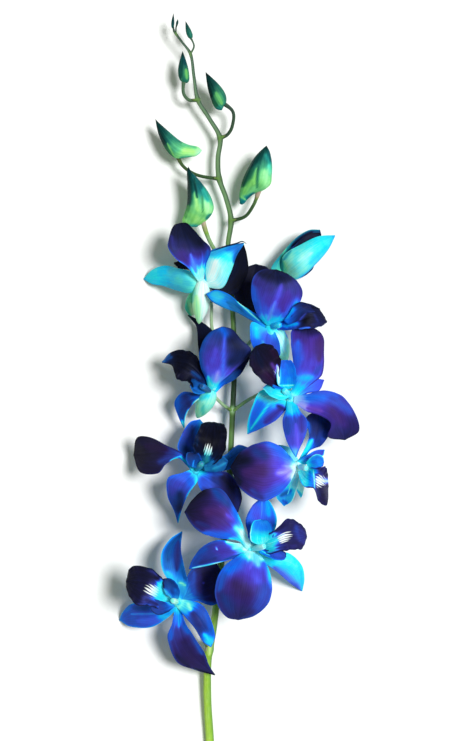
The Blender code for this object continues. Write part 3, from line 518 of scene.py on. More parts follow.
# Bloom 1, the topmost, seen from behind: its chin and sepals hide its lip and column
BLOOM_1 = Bloom(
    "bloom_1", middle=(202, 283, 22), joint=362, stalk=[(211, 303, 12.5), (212, 328, 10), (220, 347, 10)],
    column=(188, 281, 8), column_lift=0, column_colour=(0.1, -0.2), hub_colour=(0.05, -0.2),
    rolled_edge=[
        (211, 251.5, 27.5), (225, 246.6, 27.8), (236, 243.6, 28), (242.5, 241.4, 28), (246.3, 243.6, 27.4),
    ],
)
BLOOM_1.add_chin(
    tip=(199, 324, 13), radius=5, knots=[(0, 0.02, -0.4), (0.5, 0.03, -0.6), (1, 0.12, -0.9)],
    marks=[
        (203, 285, 204, 324, 2.6, 0, -0.2), (196, 296, 197, 318, 3.4, 0.17, -1.3),
        (193, 286, 192, 302, 3, 0.2, -0.6),
    ],
)
BLOOM_1.add(
    "petal_upper", midrib=[(190, 252, 30), (180, 223, 27)],
    left=[(187, 267), (175, 258), (168, 247), (170, 234), (174, 225)],
    right=[(206, 265), (211, 249), (203, 240), (195, 231), (187, 223)], rise=2, wave=0.5,
    knots=[
        (0, 0.03, 0), (0.16, 0.08, 0), (0.3, 0.4, 0.5), (0.45, 0.62, 0.9), (0.62, 0.76, 0.7),
        (0.8, 0.87, 0.5), (1, 0.9, 0.3),
    ],
    rims=((0.4, 0.05, 1.2), (0.6, 0, 1.4)),
    marks=[
        (186, 264, 181, 254, 5, 0.62, 1.1), (196, 272, 190.5, 254, 2.6, 0.3, 0.55),
        (207, 264, 208, 250, 3, 0.5, 0.1), (181, 266, 187, 270, 3, 0.42, 0.2),
        (200, 242, 188, 230, 8, 0.9, 0.4), (171, 236, 175, 250, 3, 0.68, 0.7),
        (199, 278, 203, 270, 3.5, 0.08, -0.1), (179, 262, 189, 273, 3, 0.28, 0.1),
    ],
)
BLOOM_1.add(
    "petal_right", midrib=[(231, 275, 21), (243, 243, 25)], left=[(215, 275), (225, 260), (236, 248)],
    right=[(222, 296), (238, 291), (248, 272), (247, 255)], rise=1, tilt=-3,
    knots=[(0, 0.8, 0), (0.2, 0.93, 0.3), (0.6, 0.97, 0.5), (1, 0.96, 0.2)],
    rims=((0.88, 0, 1.2), (0.9, 0.2, 1)), marks=[(236, 262, 231, 280, 3, 0.9, 0.1)],
)
BLOOM_1.add(
    "sepal_dorsal", midrib=[(215, 278, 26), (223, 263, 30), (244, 243, 28)],
    left=[(205, 283), (204, 268), (209, 252), (226, 246)], right=[(222, 288), (230, 274), (237, 255)],
    rise=-4,
    knots=[
        (0, 0.01, 0.05), (0.16, 0.03, 0.05), (0.32, 0.065, 0.05), (0.5, 0.085, 0), (0.68, 0.15, -0.15),
        (0.85, 0.27, -0.35), (1, 0.6, -0.3),
    ],
    rims=((0.72, -0.3, 1.4), (0.1, -0.1, 0.9)),
    marks=[
        (213, 276, 216, 262, 5, 0, 0.05), (225, 250, 243, 246, 4, 0.42, -0.2),
        (203, 264, 208, 250, 1.4, 0.62, -0.2), (212, 254, 224, 249, 4.5, 0.34, -0.3),
        (226, 272, 232, 262, 3, 0.12, -0.3), (240, 242, 233.5, 262, 3, 0.5, -0.3),
        (208, 286, 219, 289, 3, 0.04, -0.2),
    ],
)
BLOOM_1.add(
    "sepal_left", midrib=[(178, 279, 19), (160, 276, 11), (144, 279, 0.45)],
    left=[(190, 293), (178, 291), (163, 286), (152, 284)],
    right=[(189, 271), (178, 268.5), (165, 265.5), (152, 270)], rise=-3,
    knots=[
        (0, 0.06, -0.4), (0.25, 0.25, -0.5), (0.45, 0.27, -0.4), (0.62, 0.22, 0), (0.78, 0.18, 0.03),
        (0.92, 0.17, 0.03), (1, 0.24, 0),
    ],
    rims=((0.27, -0.1, 1), (0.16, -0.1, 1)),
    marks=[
        (196, 281, 189, 279, 4, 0.12, -0.3), (148, 277, 160, 278, 3.4, 0.16, 0.02),
        # The second mark on this line is a painted shadow, cast by the upper petal
        (162, 268, 171, 271, 2.2, 0.2, 0), (170, 271, 182, 275, 4, 0.34, -0.7),
        (178, 279, 189, 283, 4.5, 0.31, -0.7), (180, 288, 192, 294, 5, 0.34, -0.7),
        (168, 286, 182, 291, 3, 0.32, -0.5),
    ],
)
BLOOM_1.add(
    "sepal_lower", midrib=[(193, 296, 10), (190, 316, 3)], left=[(200, 300), (198, 312)],
    right=[(188, 296), (185, 308)], rise=1, knots=[(0, 0.14, -0.6), (0.5, 0.24, -0.9), (1, 0.3, -0.9)],
    marks=[(187, 292, 190, 306, 3, 0.12, -0.8), (190, 303, 194, 316, 3, 0.06, -0.95)],
)
BLOOM_1.add(
    "lip", midrib=[(194, 267, 12), (185, 264, 9), (174, 263, 6)], left=[(189, 270), (180, 269)],
    right=[(194, 261), (184, 260)], rise=2.5, knots=[(0, 0.5, 0), (0.3, 0.93, 0.6), (1, 0.96, 0.6)],
)

# Bloom 2, right of the stem, whose lip faces right
BLOOM_2 = Bloom(
    "bloom_2", middle=(270, 327, 29), joint=360, stalk=[(256, 336, 17), (243, 350, 12)],
    column=(280, 325, 35), column_colour=(0.24, 0), hub_colour=(0.2, 0),
)
BLOOM_2.add_chin(
    tip=(287, 361, 14), radius=6.2, knots=[(0, 0.13, -0.1), (0.4, 0.08, -0.4), (1, 0.18, -0.9)],
    marks=[
        (278, 333, 286, 352, 3, 0.05, -0.1), (284, 328, 288, 338, 0.9, 0.5, -0.1),
        (288, 345, 287, 357, 2, 0.2, -0.8),
    ],
)
BLOOM_2.add(
    "petal_upper", midrib=[(269, 305, 41), (277, 285, 43), (276, 269.5, 39)],
    left=[(258, 316), (253, 303), (251, 289), (254, 276), (263, 269.5)],
    right=[(284, 320), (294, 314), (300, 303), (302.5, 292), (297, 281), (287, 273.5)], rise=-3, wave=0.5,
    knots=[
        (0, 0.08, -0.1), (0.12, 0.2, 0), (0.26, 0.4, 0.4), (0.45, 0.53, 0.9), (0.65, 0.62, 0.8),
        (0.82, 0.78, 0.6), (1, 0.9, 0.4),
    ],
    rims=((0.42, 0.05, 2), (0.62, 0.3, 1.2)),
    marks=[
        (283, 310, 288, 292, 5, 0.54, 1.15), (275, 303, 282, 284, 3.2, 0.42, 0.95),
        (268, 320, 276, 301, 2.4, 0.27, 0.5), (292, 316, 297, 303, 6, 0.29, 0.02),
        (268, 323, 284, 322, 4.5, 0.2, -0.1), (260, 274, 290, 279, 6, 0.86, 0.5),
        (253, 286, 257, 316, 5, 0.46, 0.15),
    ],
)
BLOOM_2.add(
    "petal_lower", midrib=[(265, 341, 31), (268, 362, 24)], left=[(275, 332), (280, 346), (279, 357)],
    right=[(252, 322), (250, 336), (254, 350), (260, 360)], rise=2.5,
    knots=[(0, 0.2, 0), (0.5, 0.4, 0.2), (1, 0.45, 0.3)], rims=((0.5, 0, 1), (0.3, 0, 1)),
    marks=[
        (256, 328, 257, 336, 4, 0.2, 0), (263, 341, 264, 345, 1.6, 0.16, 0.2),
        (266, 336, 273, 348, 6, 0.41, 0.45), (254, 342, 257, 347, 3.5, 0.42, 0),
    ],
)
BLOOM_2.add(
    "sepal_dorsal", midrib=[(247, 315, 29), (230, 302, 29), (206, 294, 26)],
    left=[(250, 320), (238, 313), (224, 308), (211, 301)],
    right=[(251, 311), (239, 303), (229, 294.5), (216, 290)], rise=1, tilt=3,
    knots=[(0, 0.3, -0.1), (0.3, 0.48, -0.3), (0.6, 0.43, -0.3), (0.85, 0.3, -0.25), (1, 0.36, -0.2)],
    rims=((0.6, -0.3, 1.2), (0.4, 0, 0.8)),
    marks=[
        (237, 301, 260, 321, 1.1, 0.05, 0), (212, 295, 222, 297, 3, 0.27, -0.3),
        (230, 307, 246, 316, 2, 0.56, -0.3), (214, 303, 232, 311, 1.8, 0.48, -0.45),
        (227, 302, 243, 311, 2.6, 0.56, -0.4),
    ],
)
# Its near-black tone is partly its own dark face and partly painted shade, as it lies in shadow behind the
# bloom
BLOOM_2.add(
    "sepal_behind", midrib=[(253, 295, 17), (256, 264, 12)],
    left=[(247, 315), (236, 300), (232, 285), (238, 274), (247, 267)],
    right=[(270, 300), (274, 282), (268, 268)], rise=1,
    knots=[(0, 0.8, 0.2), (0.3, 0.92, 0.5), (1, 0.93, 0.7)], rims=((0.85, 0.1, 1), (0.85, 0.4, 1)),
    marks=[(243, 283, 246, 292, 4, 0.88, 1)],
)
BLOOM_2.add(
    "sepal_right", midrib=[(288, 322, 25), (304, 317, 22)], left=[(290, 315), (299, 311)],
    right=[(289, 330), (299, 328)], rise=1, knots=[(0, 0.2, 0), (0.5, 0.38, 0), (1, 0.5, 0.1)],
    rims=((0.4, 0.05, 1), (0.4, 0.05, 1)),
)
BLOOM_2.add(
    "lip", midrib=[(298, 321, 38), (312, 317, 39), (327, 322, 34)],
    left=[(289, 319), (300, 303), (310, 305), (320, 310)],
    right=[(288, 329), (302, 329), (314, 328), (322, 326)], rise=4,
    knots=[(0, 0.25, 0), (0.22, 0.54, 0.1), (0.4, 0.82, 0.5), (0.7, 0.86, 0.6), (1, 0.82, 0.6)],
    rims=((0.9, 0.5, 1), (0.74, 0.4, 1)),
    marks=[
        (285, 326, 297, 324, 4.5, 0.28, 0), (287, 316, 293, 309, 4, 0.3, 0),
        # The first mark on this line is a painted highlight on the lip's curl
        (300, 320, 306, 311, 2.2, 0.5, 0.5), (304, 311, 313, 311, 1.4, 0.62, 0.6),
        # The first mark on this line is painted shade, near black, in the hollow under the curl
        (305, 321, 308, 318, 2.6, 0.98, 0.5), (311, 325, 322, 322, 2.5, 0.8, 0.6),
        # The first mark on this line is a painted highlight along the lip's lower edge
        (299, 329, 310, 327.5, 1.2, 0.32, 0.3), (314, 314, 318, 322, 1.4, 0.72, 0.6),
    ],
)
BLOOM_2.add(
    "lobe_upper", foot=(286, 323, 36), midrib=[(296, 313, 40), (309, 307, 40), (320, 309, 36)],
    left=[(288, 315), (298, 302.5), (310, 304)], right=[(297, 321), (306, 313), (315, 312)], rise=2,
    knots=[(0, 0.4, 0), (0.5, 0.7, 0.3), (1, 0.84, 0.5)], rims=((0.85, 0.4, 1), (0.7, 0.5, 1)),
    marks=[(302, 306, 316, 309, 2, 0.8, 0.6), (287, 316, 293, 309, 4, 0.3, 0)],
)

# Bloom 3, left of the stem, whose dark lip faces left
BLOOM_3 = Bloom(
    "bloom_3", middle=(211, 392, 25), joint=411, stalk=[(218, 400, 17), (226, 407, 13)],
    column=(202, 386, 33), column_colour=(0.6, -0.4), hub_colour=(0.12, -0.1),
)
BLOOM_3.add_chin(
    tip=(197, 418, 12), radius=5,
    knots=[(0, 0.1, -0.2), (0.3, 0.12, -0.5), (0.6, 0.15, -0.85), (1, 0.16, -0.85)],
    marks=[
        (200, 399, 208, 396, 3, 0.15, -0.1), (196, 404, 192, 414, 1.6, 0.1, -0.3),
        (203, 404, 203, 416, 2, 0.27, -0.9),
    ],
)
BLOOM_3.add(
    "petal_upper", midrib=[(218, 365, 37), (224, 345, 40), (222, 326.5, 35)],
    left=[(206, 380), (201, 368), (199, 355), (203, 341), (211, 331.5)],
    right=[(220, 383), (233, 372), (251, 351), (241, 339), (232, 329)], rise=-2, wave=0.4,
    knots=[
        (0, 0.05, 0), (0.07, 0.14, 0), (0.16, 0.26, 0.5), (0.3, 0.39, 0.8), (0.45, 0.5, 0.9),
        (0.65, 0.59, 0.7), (0.85, 0.64, 0.4), (1, 0.6, 0.1),
    ],
    rims=((0.58, -0.1, 5), (0.8, 0.2, 1.2)),
    marks=[
        (216, 350, 215, 366, 5, 0.45, 0.9), (234, 340, 242, 354, 10, 0.84, 0.3),
        (231, 362, 242, 354, 6, 0.8, 0.3), (225, 332, 222.5, 376, 2.4, 0.36, 0.5),
        (222, 329, 226, 334, 4, 0.48, 0), (208, 376, 212, 389, 2.4, 0.14, -0.05),
        (218, 372, 216, 380, 3, 0.2, 0.9),
    ],
)
BLOOM_3.add(
    "petal_right", midrib=[(232, 372, 27), (251, 352, 23)], left=[(222, 377), (235, 362), (245, 352)],
    right=[(223, 386), (238, 377), (248, 362)], rise=1,
    knots=[(0, 0.15, 0), (0.3, 0.55, 0), (0.6, 0.76, 0.3), (1, 0.86, 0.4)],
    rims=((0.75, 0.4, 1), (0.6, 0, 1)),
    marks=[
        # The second mark on this line is a painted highlight along a fold
        (227, 381, 240, 371, 4, 0.6, -0.1), (230, 372, 249, 352, 1.2, 0.5, 0.5),
        (243, 368, 248, 356, 4, 0.84, 0.2),
    ],
)
BLOOM_3.add(
    "sepal_dorsal", midrib=[(223, 375, 19), (236, 350, 15)], left=[(217, 370), (227, 352)],
    right=[(230, 378), (239, 362)], rise=1, knots=[(0, 0.3, 0), (0.5, 0.6, 0.2), (1, 0.85, 0.4)],
)
BLOOM_3.add(
    "sepal_lower", midrib=[(192, 400, 21), (182, 410, 17), (184, 428, 9)],
    left=[(201, 398), (192, 405), (186, 416)], right=[(197, 393), (183, 392), (174.5, 402), (178, 416)],
    rise=1.5,
    knots=[(0, 0.1, 0), (0.22, 0.45, 0), (0.5, 0.66, 0.2), (0.78, 0.6, 0), (0.92, 0.36, 0), (1, 0.15, 0)],
    rims=((0.05, 0, 1.1), (0.5, 0, 1.2)),
    marks=[
        (178, 398, 178, 410, 3.5, 0.56, 0), (185, 397, 190, 406, 4, 0.72, 0.4),
        (190, 412, 203, 396, 1.4, 0.06, -0.1), (182, 420, 184, 428, 1.3, 0.14, 0),
        (190, 394, 202, 394, 2, 0.7, 0.1),
    ],
)
# Sepal_left's near-black tone is partly its own dark colour and partly painted shade, as it lies in shadow
# behind the bloom
BLOOM_3.add(
    "sepal_left", midrib=[(206, 355, 15), (203, 333, 10), (188, 315, 4)],
    left=[(200, 365), (198, 345), (196, 326)], right=[(214, 352), (214, 333), (202, 322)], rise=1,
    knots=[(0, 0.6, 0), (0.2, 0.85, 0.4), (0.6, 0.93, 0.6), (1, 0.9, 0.4)],
    marks=[(188, 315, 196, 322, 2, 0.85, -0.5)],
)
BLOOM_3.add(
    "lip", midrib=[(198, 374, 29), (184, 365, 30), (162, 362, 22)],
    left=[(196, 394), (190, 383), (177, 379), (172, 366)],
    right=[(207, 378), (198, 358), (189, 351), (173, 351)], rise=4,
    knots=[
        (0, 0.5, -0.2), (0.15, 0.72, 0), (0.3, 0.95, 0.4), (0.7, 0.97, 0.4), (0.86, 0.86, 0.1),
        (1, 0.5, -0.3),
    ],
    rims=((0.96, 0.4, 1), (0.92, 0.1, 1)),
    marks=[
        (180, 376, 188, 374, 4, 0.9, 0.8), (162, 362, 170, 354, 2.4, 0.5, -0.3),
        (192, 372, 200, 378, 3, 0.66, -0.1), (167, 360, 172, 357, 1.8, 0.62, -0.1),
    ],
)
BLOOM_3.add(
    "lobe_lower", foot=(207, 389, 30), midrib=[(199, 388, 32), (190, 385, 31)], left=[(202, 394), (194, 393)],
    right=[(200, 381), (192, 378)], rise=2, knots=[(0, 0.4, -0.2), (0.5, 0.54, -0.2), (1, 0.66, -0.2)],
    rims=((0.42, -0.2, 1), (0.8, 0, 1.2)), marks=[(193, 388, 204, 389, 2.4, 0.46, -0.2)],
)

# Bloom 4, right of the stem, whose dark lip faces up and left
BLOOM_4 = Bloom(
    "bloom_4", middle=(291, 399, 34), joint=411, stalk=[(266, 392.5, 22), (250, 399, 16)],
    column=(284, 390, 43), column_colour=(0.12, 0), hub_colour=(0.1, 0),
)
BLOOM_4.add_chin(
    tip=(281, 385, 20), radius=3, knots=[(0, 0.1, -0.1), (1, 0.15, -0.6)],
)
BLOOM_4.add(
    "petal_upper", midrib=[(307, 362, 39), (308, 345, 37), (307, 324, 30)],
    left=[(295, 379), (293, 361), (291, 343), (292, 330)],
    right=[(313, 383), (322.5, 374), (324, 355), (322.5, 335)], rise=-2, wave=0.4,
    knots=[
        (0, 0.08, 0), (0.14, 0.24, 0), (0.26, 0.4, 0.5), (0.45, 0.46, 0.9), (0.75, 0.6, 1.1), (1, 0.76, 0.8),
    ],
    rims=((0.42, 0.2, 2.4), (0.66, 1.2, 1.2)),
    marks=[
        (309, 352, 313, 340, 6, 0.52, 1.3), (319, 360, 320, 336, 5, 0.64, 1.5),
        (297, 366, 298, 342, 6, 0.44, 0.25), (298, 329, 320, 331, 5, 0.8, 0.9),
        (298, 378, 312, 377, 4.5, 0.28, 0.1), (315, 373, 321, 366, 3, 0.5, 0.5),
        # A painted highlight along the petal's curled top edge
        (302, 328, 312, 327.5, 0.9, 0.2, 0.3),
    ],
)
BLOOM_4.add(
    "petal_right", midrib=[(318, 402, 42), (338, 413, 41), (345, 440, 29)],
    left=[(305, 394.5), (325, 390.5), (342, 396), (355, 413), (359, 431)],
    right=[(306, 411), (322, 416.5), (331, 424), (328, 437)], rise=-2, wave=0.5,
    knots=[
        (0, 0.08, 0.3), (0.14, 0.2, 0.7), (0.28, 0.44, 1), (0.55, 0.58, 1.1), (0.8, 0.72, 0.9),
        (1, 0.76, 0.7),
    ],
    rims=((0.5, 0.3, 1.6), (0.62, 0.8, 1)),
    marks=[
        (308, 398, 336, 397, 7, 0.4, 0.15), (332, 399, 350, 412, 7, 0.5, 0.5),
        (299, 405, 310, 409, 3.5, 0.14, 1), (308, 408, 322, 411, 3.5, 0.42, 1.6),
        (332, 411, 344, 424, 6, 0.62, 1.3),
    ],
)
BLOOM_4.add(
    "sepal_dorsal", midrib=[(310, 388, 32), (324, 380, 30)], left=[(306, 385), (315, 379)],
    right=[(307, 393.5), (319, 391)], rise=1, knots=[(0, 0.1, 0), (0.5, 0.35, 0.4), (1, 0.45, 0.7)],
    rims=((0.5, 0.2, 0.8), (0.5, 0.4, 0.8)),
)
BLOOM_4.add(
    "sepal_lower", midrib=[(294, 420, 42), (296, 440, 45), (296, 457, 46)],
    left=[(300, 411), (307.5, 421), (305, 437), (299, 450)],
    right=[(286, 409), (282.5, 421), (285.5, 438), (291, 450)], rise=-1.5,
    knots=[
        (0, 0.16, 0), (0.18, 0.26, 0), (0.38, 0.5, 0.5), (0.75, 0.46, 0.8), (0.92, 0.22, 0.4), (1, 0.1, 0),
    ],
    rims=((0.46, 0.2, 1.2), (0.42, 0.2, 1.2)),
    marks=[
        (287, 418, 288, 434, 3.5, 0.54, 0.3), (301, 416, 302, 432, 3, 0.56, 0.8),
        (296, 424, 298, 448, 2.2, 0.34, 0.9), (289, 404, 292, 414, 3, 0.2, -0.1),
        (299, 402, 302, 410, 3, 0.3, 0.1),
    ],
)
BLOOM_4.add(
    "sepal_left", midrib=[(269, 406, 33), (256, 419, 28), (247.5, 434, 20)],
    left=[(284, 412), (275, 421), (260, 429)], right=[(272, 390), (260, 391), (252, 407), (247.5, 422)],
    rise=2,
    knots=[(0, 0.1, 0), (0.22, 0.2, 0), (0.42, 0.36, 0.1), (0.7, 0.42, 0.15), (0.9, 0.34, 0), (1, 0.16, 0)],
    rims=((0.38, 0.3, 1.2), (0.13, -0.05, 2.2)),
    marks=[
        (262, 402, 253, 422, 4, 0.43, 0.1), (281, 409, 266, 422, 5, 0.56, 0.9),
        (278, 406, 285, 410, 2.6, 0.68, 0.7), (272, 400, 251, 429, 1.4, 0.14, 0),
        (256, 394, 277, 400, 5, 0.09, 0.05),
    ],
)
BLOOM_4.add(
    "lip", midrib=[(277, 377, 46), (267, 366, 48), (256, 346, 41)],
    left=[(273, 388), (262, 381), (250, 366), (250, 354)],
    right=[(280, 381), (280.5, 359), (273, 346), (263, 343.5)], rise=4,
    knots=[(0, 0.2, 0), (0.2, 0.44, 0.2), (0.34, 0.84, 1.2), (0.6, 0.88, 1.3), (1, 0.9, 0.8)],
    rims=((0.92, 0.5, 1.2), (0.9, 0.8, 1.2)),
    marks=[
        (266, 374, 274, 382, 5, 0.8, 1.9), (272, 350, 277, 357, 3, 0.84, 1.8),
        (256, 352, 262, 366, 4, 0.88, 0.4), (277, 365, 277.5, 379, 2.6, 0, 0.6),
        (272, 364, 274.5, 368, 2.2, 0.55, 1.6),
    ],
    fan=(284, 378, 268, 364, 4, 0.4),
)
BLOOM_4.add(
    "lobe_upper", foot=(288, 389, 43), midrib=[(287, 376, 47), (286, 360, 47)],
    left=[(278, 385), (277, 372), (280, 361)], right=[(296, 384), (296, 372), (292, 361)], rise=2,
    knots=[(0, 0.16, 0), (0.2, 0.34, 0), (0.6, 0.42, 0), (1, 0.5, 0.1)],
    rims=((0.34, 0.1, 1.2), (0.36, 0, 1.2)),
    marks=[
        (282, 366, 291, 364, 4, 0.46, 0.1), (279, 385.5, 294, 385, 1.1, 0.05, 0),
        (278, 363, 278.6, 384, 2.2, 0, 0.3),
    ],
)
BLOOM_4.add(
    "lobe_lower", foot=(290, 394, 42), midrib=[(276, 392, 44), (263, 388, 43)], left=[(282, 400), (270, 396)],
    right=[(280, 387), (268, 384)], rise=1.5, knots=[(0, 0.14, 0), (0.5, 0.15, -0.05), (1, 0.3, -0.3)],
    rims=((0.12, 0, 1.2), (0.4, 0, 1.2)),
    # The first mark is a painted shadow line along the lobe
    marks=[(272, 387, 292, 387.5, 2, 0.4, 0), (266, 396, 288, 396, 3, 0.13, 0)],
)

# Bloom 5, left of the stem, whose lip faces up
BLOOM_5 = Bloom(
    "bloom_5", middle=(196, 471, 27), joint=518, stalk=[(206, 486, 17), (217, 502, 13)],
    column=(202, 463, 35), column_colour=(0.46, -0.8), hub_colour=(0.26, -0.4),
)
BLOOM_5.add_chin(
    tip=(200, 458, 13), radius=3, knots=[(0, 0.2, -0.2), (1, 0.3, -0.6)],
)
BLOOM_5.add(
    "petal_left", midrib=[(182, 457, 32), (165, 454, 31), (149, 455, 22), (133.5, 455, 11)],
    left=[(187, 466), (178, 458), (166, 464), (158, 473.5), (140, 472)],
    right=[(191, 463), (182, 453), (168, 446), (149, 437), (137, 437.5)], rise=1, wave=0.3,
    knots=[(0, 0.2, 0), (0.22, 0.46, 0.1), (0.4, 0.64, 0.5), (0.56, 0.84, 1), (1, 0.9, 1)],
    rims=((0.6, 0.4, 1.2), (0.74, 0.8, 1.2)),
    marks=[
        # The two marks on this line darken the petal's outer half to near black, partly its dark dye and
        # partly painted shade
        (147, 446, 166, 449, 5, 0.78, 1.4), (140, 446, 140, 464, 5, 0.9, 1.1),
        # The last mark on this line and the first on the next are a painted highlight along the claw's edge
        (160, 462, 169, 458, 4, 0.6, 0.5), (170, 460.8, 182, 455.5, 0.9, 0.16, 0),
        (180, 456, 193, 471, 1.6, 0.14, -0.1), (184, 462, 190, 470, 2, 0.4, -0.2),
    ],
)
BLOOM_5.add(
    "petal_right", midrib=[(216, 484, 29), (230, 497, 23), (238, 512, 15)],
    left=[(210, 472), (226, 472), (236, 481), (242, 497)], right=[(199, 487), (210, 500), (225, 510)],
    rise=1, wave=0.4,
    knots=[(0, 0.15, 0), (0.18, 0.42, 0.2), (0.4, 0.64, 0.7), (0.7, 0.84, 0.9), (1, 0.74, 0.6)],
    rims=((0.66, 0.3, 1.2), (0.42, 0, 1.2)),
    marks=[
        (203, 480, 210, 487, 4.5, 0.48, 0.4), (214, 478, 220, 484, 4, 0.64, 0.4),
        (222, 476, 232, 489, 6, 0.88, 0.7), (236, 488, 238, 505, 3, 0.72, 0.6),
        (214, 474, 222, 474, 2.4, 0.58, 0.2),
    ],
)
BLOOM_5.add(
    "sepal_dorsal", midrib=[(183, 485, 30), (178, 502, 24), (178, 523, 12)],
    left=[(197, 482), (189, 493), (182, 509)], right=[(183, 472.5), (168, 478), (167.5, 496), (174, 511)],
    rise=1.5,
    knots=[
        (0, 0.15, 0), (0.18, 0.4, 0.2), (0.42, 0.54, 0.6), (0.72, 0.68, 0.2), (0.9, 0.5, 0), (1, 0.32, -0.2),
    ],
    rims=((0.22, 0, 1.5), (0.46, 0, 1.3)),
    marks=[
        (170, 477, 190, 474, 3, 0.44, 0.2), (176, 484, 184, 486, 5, 0.5, 0.6),
        (188, 478, 190, 484, 3, 0.44, 0.1), (180, 494, 180, 508, 5, 0.78, 0.1),
        (198, 473, 196, 484, 2.4, 0.13, 0), (195, 488, 187, 499, 1.5, 0.22, 0),
    ],
)
BLOOM_5.add(
    "sepal_left", midrib=[(188, 448, 24), (192, 433, 23), (200, 419.5, 18)],
    left=[(186, 460), (177.5, 448), (182, 434), (190, 422)], right=[(199, 456), (202, 440), (205, 426)],
    rise=1, knots=[(0, 0.45, -0.3), (0.3, 0.56, 0), (0.6, 0.54, 0.25), (1, 0.52, 0)],
    rims=((0.34, 0, 1), (0.45, -0.1, 2.2)),
    marks=[
        (183, 430, 188, 446, 4, 0.5, 0.4), (201, 420, 200, 446, 4.5, 0.42, -0.3),
        (185, 450, 192, 456, 4.5, 0.74, 0), (192, 426, 193, 446, 2.2, 0.62, 0.3),
    ],
)
BLOOM_5.add(
    "sepal_right", midrib=[(222, 464, 22), (236, 454, 19), (249, 448, 14)],
    left=[(211, 461), (225, 455), (238, 445)], right=[(214, 472), (230, 469), (243, 458)], rise=1.5,
    knots=[(0, 0.45, -0.5), (0.35, 0.54, -0.4), (0.7, 0.62, -0.2), (1, 0.64, 0)],
    rims=((0.5, -0.1, 1.2), (0.5, -0.1, 1.2)), marks=[(226, 452, 246, 447, 3.5, 0.64, -0.1)],
)
BLOOM_5.add(
    "lip", midrib=[(207, 455, 38), (211, 440, 40), (214, 422, 33)],
    left=[(198, 462), (193, 447), (197, 434), (203, 423)],
    right=[(213, 465), (222, 457), (226.5, 443), (225, 425.5)], rise=4,
    knots=[(0, 0.34, -0.5), (0.2, 0.5, -0.4), (0.36, 0.9, 0.2), (0.6, 0.98, 0.6), (1, 0.97, 0.6)],
    rims=((0.86, 0, 1.2), (0.95, 0.6, 1.2)),
    marks=[
        (206, 468, 207.5, 455, 4.5, 0.42, -0.8), (220, 452, 223, 440, 3, 0.93, 1),
        (197, 446, 197, 432, 2, 0.84, -0.1),
    ],
    fan=(207.8, 457, 208.5, 440, 3.6, 0.93),
)
BLOOM_5.add(
    "lobe_left", foot=(198, 467, 34), midrib=[(195, 460, 37), (191, 452, 37)],
    left=[(190, 466), (186, 460), (187, 453)], right=[(202, 461), (198, 453)], rise=1.5,
    knots=[(0, 0.46, -0.3), (0.35, 0.62, 0), (1, 0.8, 0.2)], rims=((0.5, -0.1, 0.9), (0.5, 0, 0.9)),
    marks=[(192, 468, 194, 460, 0.8, 0.3, -0.2)],
)
BLOOM_5.add(
    "lobe_right", foot=(204, 468, 34), midrib=[(215, 466, 37), (228, 461, 36)], left=[(212, 461), (222, 456)],
    right=[(214, 472), (224, 470)], rise=1.5, knots=[(0, 0.46, -0.5), (0.5, 0.56, -0.4), (1, 0.64, -0.2)],
    rims=((0.5, -0.3, 1), (0.58, -0.2, 1)),
    marks=[(213, 469, 226, 463, 2.2, 0.44, -0.6), (217, 465, 224, 460, 1.6, 0.6, -0.4)],
)

# Bloom 6, right of the stem, whose broad left petal reaches it and whose lip faces right
BLOOM_6 = Bloom(
    "bloom_6", middle=(298, 466, 35), joint=478, stalk=[(277, 474, 20), (252, 480, 14)],
    column=(306, 468, 43), column_colour=(0.07, 0), hub_colour=(0.03, -0.1),
)
BLOOM_6.add_chin(
    tip=(301, 498, 20), radius=2.8, knots=[(0, 0.03, 0), (1, 0.08, -0.1)],
    marks=[(296, 490, 303, 497, 1.4, 0.26, 0)],
)
BLOOM_6.add(
    "petal_left", midrib=[(274, 469, 45), (250, 468, 44), (230.5, 467, 36)],
    left=[(288, 485), (275, 497), (260, 501), (240, 488)],
    right=[(290, 456), (278, 445), (264, 441.5), (241, 451.5)], rise=-3, wave=0.5,
    knots=[
        (0, 0, 0.2), (0.06, 0.02, 0.4), (0.13, 0.16, 0.9), (0.26, 0.42, 1.1), (0.5, 0.58, 1.4),
        (0.72, 0.74, 1.2), (1, 0.86, 0.8),
    ],
    rims=((0.46, 0.2, 3), (0.47, 0.3, 3)),
    marks=[
        (294, 464, 292, 480, 3, 0, 0.5), (290, 471, 278, 473, 4, 0.18, 1), (272, 444, 288, 455, 9, 0.42, 0.2),
        (262, 500, 286, 488, 9, 0.45, 0.3), (286, 449, 296, 460, 4, 0.24, 0),
        (236, 458, 246, 462, 8, 0.9, 0.6), (254, 450, 264, 456, 6, 0.64, 0.4),
        (234, 464, 240, 484, 5, 0.88, 0.6), (246, 472, 262, 470, 7, 0.66, 1.6),
        (262, 498, 252, 490, 4, 0.6, 0.6),
    ],
)
BLOOM_6.add(
    "petal_right", midrib=[(314, 442, 30), (318, 427, 28), (318, 410, 24)],
    left=[(304, 450), (309, 436), (306, 418)], right=[(310, 450), (322, 445), (332, 427), (330, 414)],
    rise=1, wave=0.4, knots=[(0, 0.1, 0), (0.2, 0.3, 0), (0.42, 0.6, 0.2), (0.75, 0.78, 0.35), (1, 0.8, 0.5)],
    rims=((0.6, 0.2, 1.2), (0.6, 0.4, 1.2)),
    marks=[
        (301, 456, 312, 440, 4.5, 0.14, 0), (325, 430, 322, 442, 3.5, 0.56, 0.3),
        (322, 418, 327, 428, 5, 0.82, 0), (308, 422, 309, 434, 2.5, 0.5, 0),
    ],
)
BLOOM_6.add(
    "sepal_dorsal", midrib=[(284, 455, 31), (269, 447, 27)], left=[(285, 461), (273, 456)],
    right=[(292, 449), (281, 445)], rise=1, knots=[(0, 0.07, 0), (0.5, 0.095, 0), (1, 0.12, 0)],
)
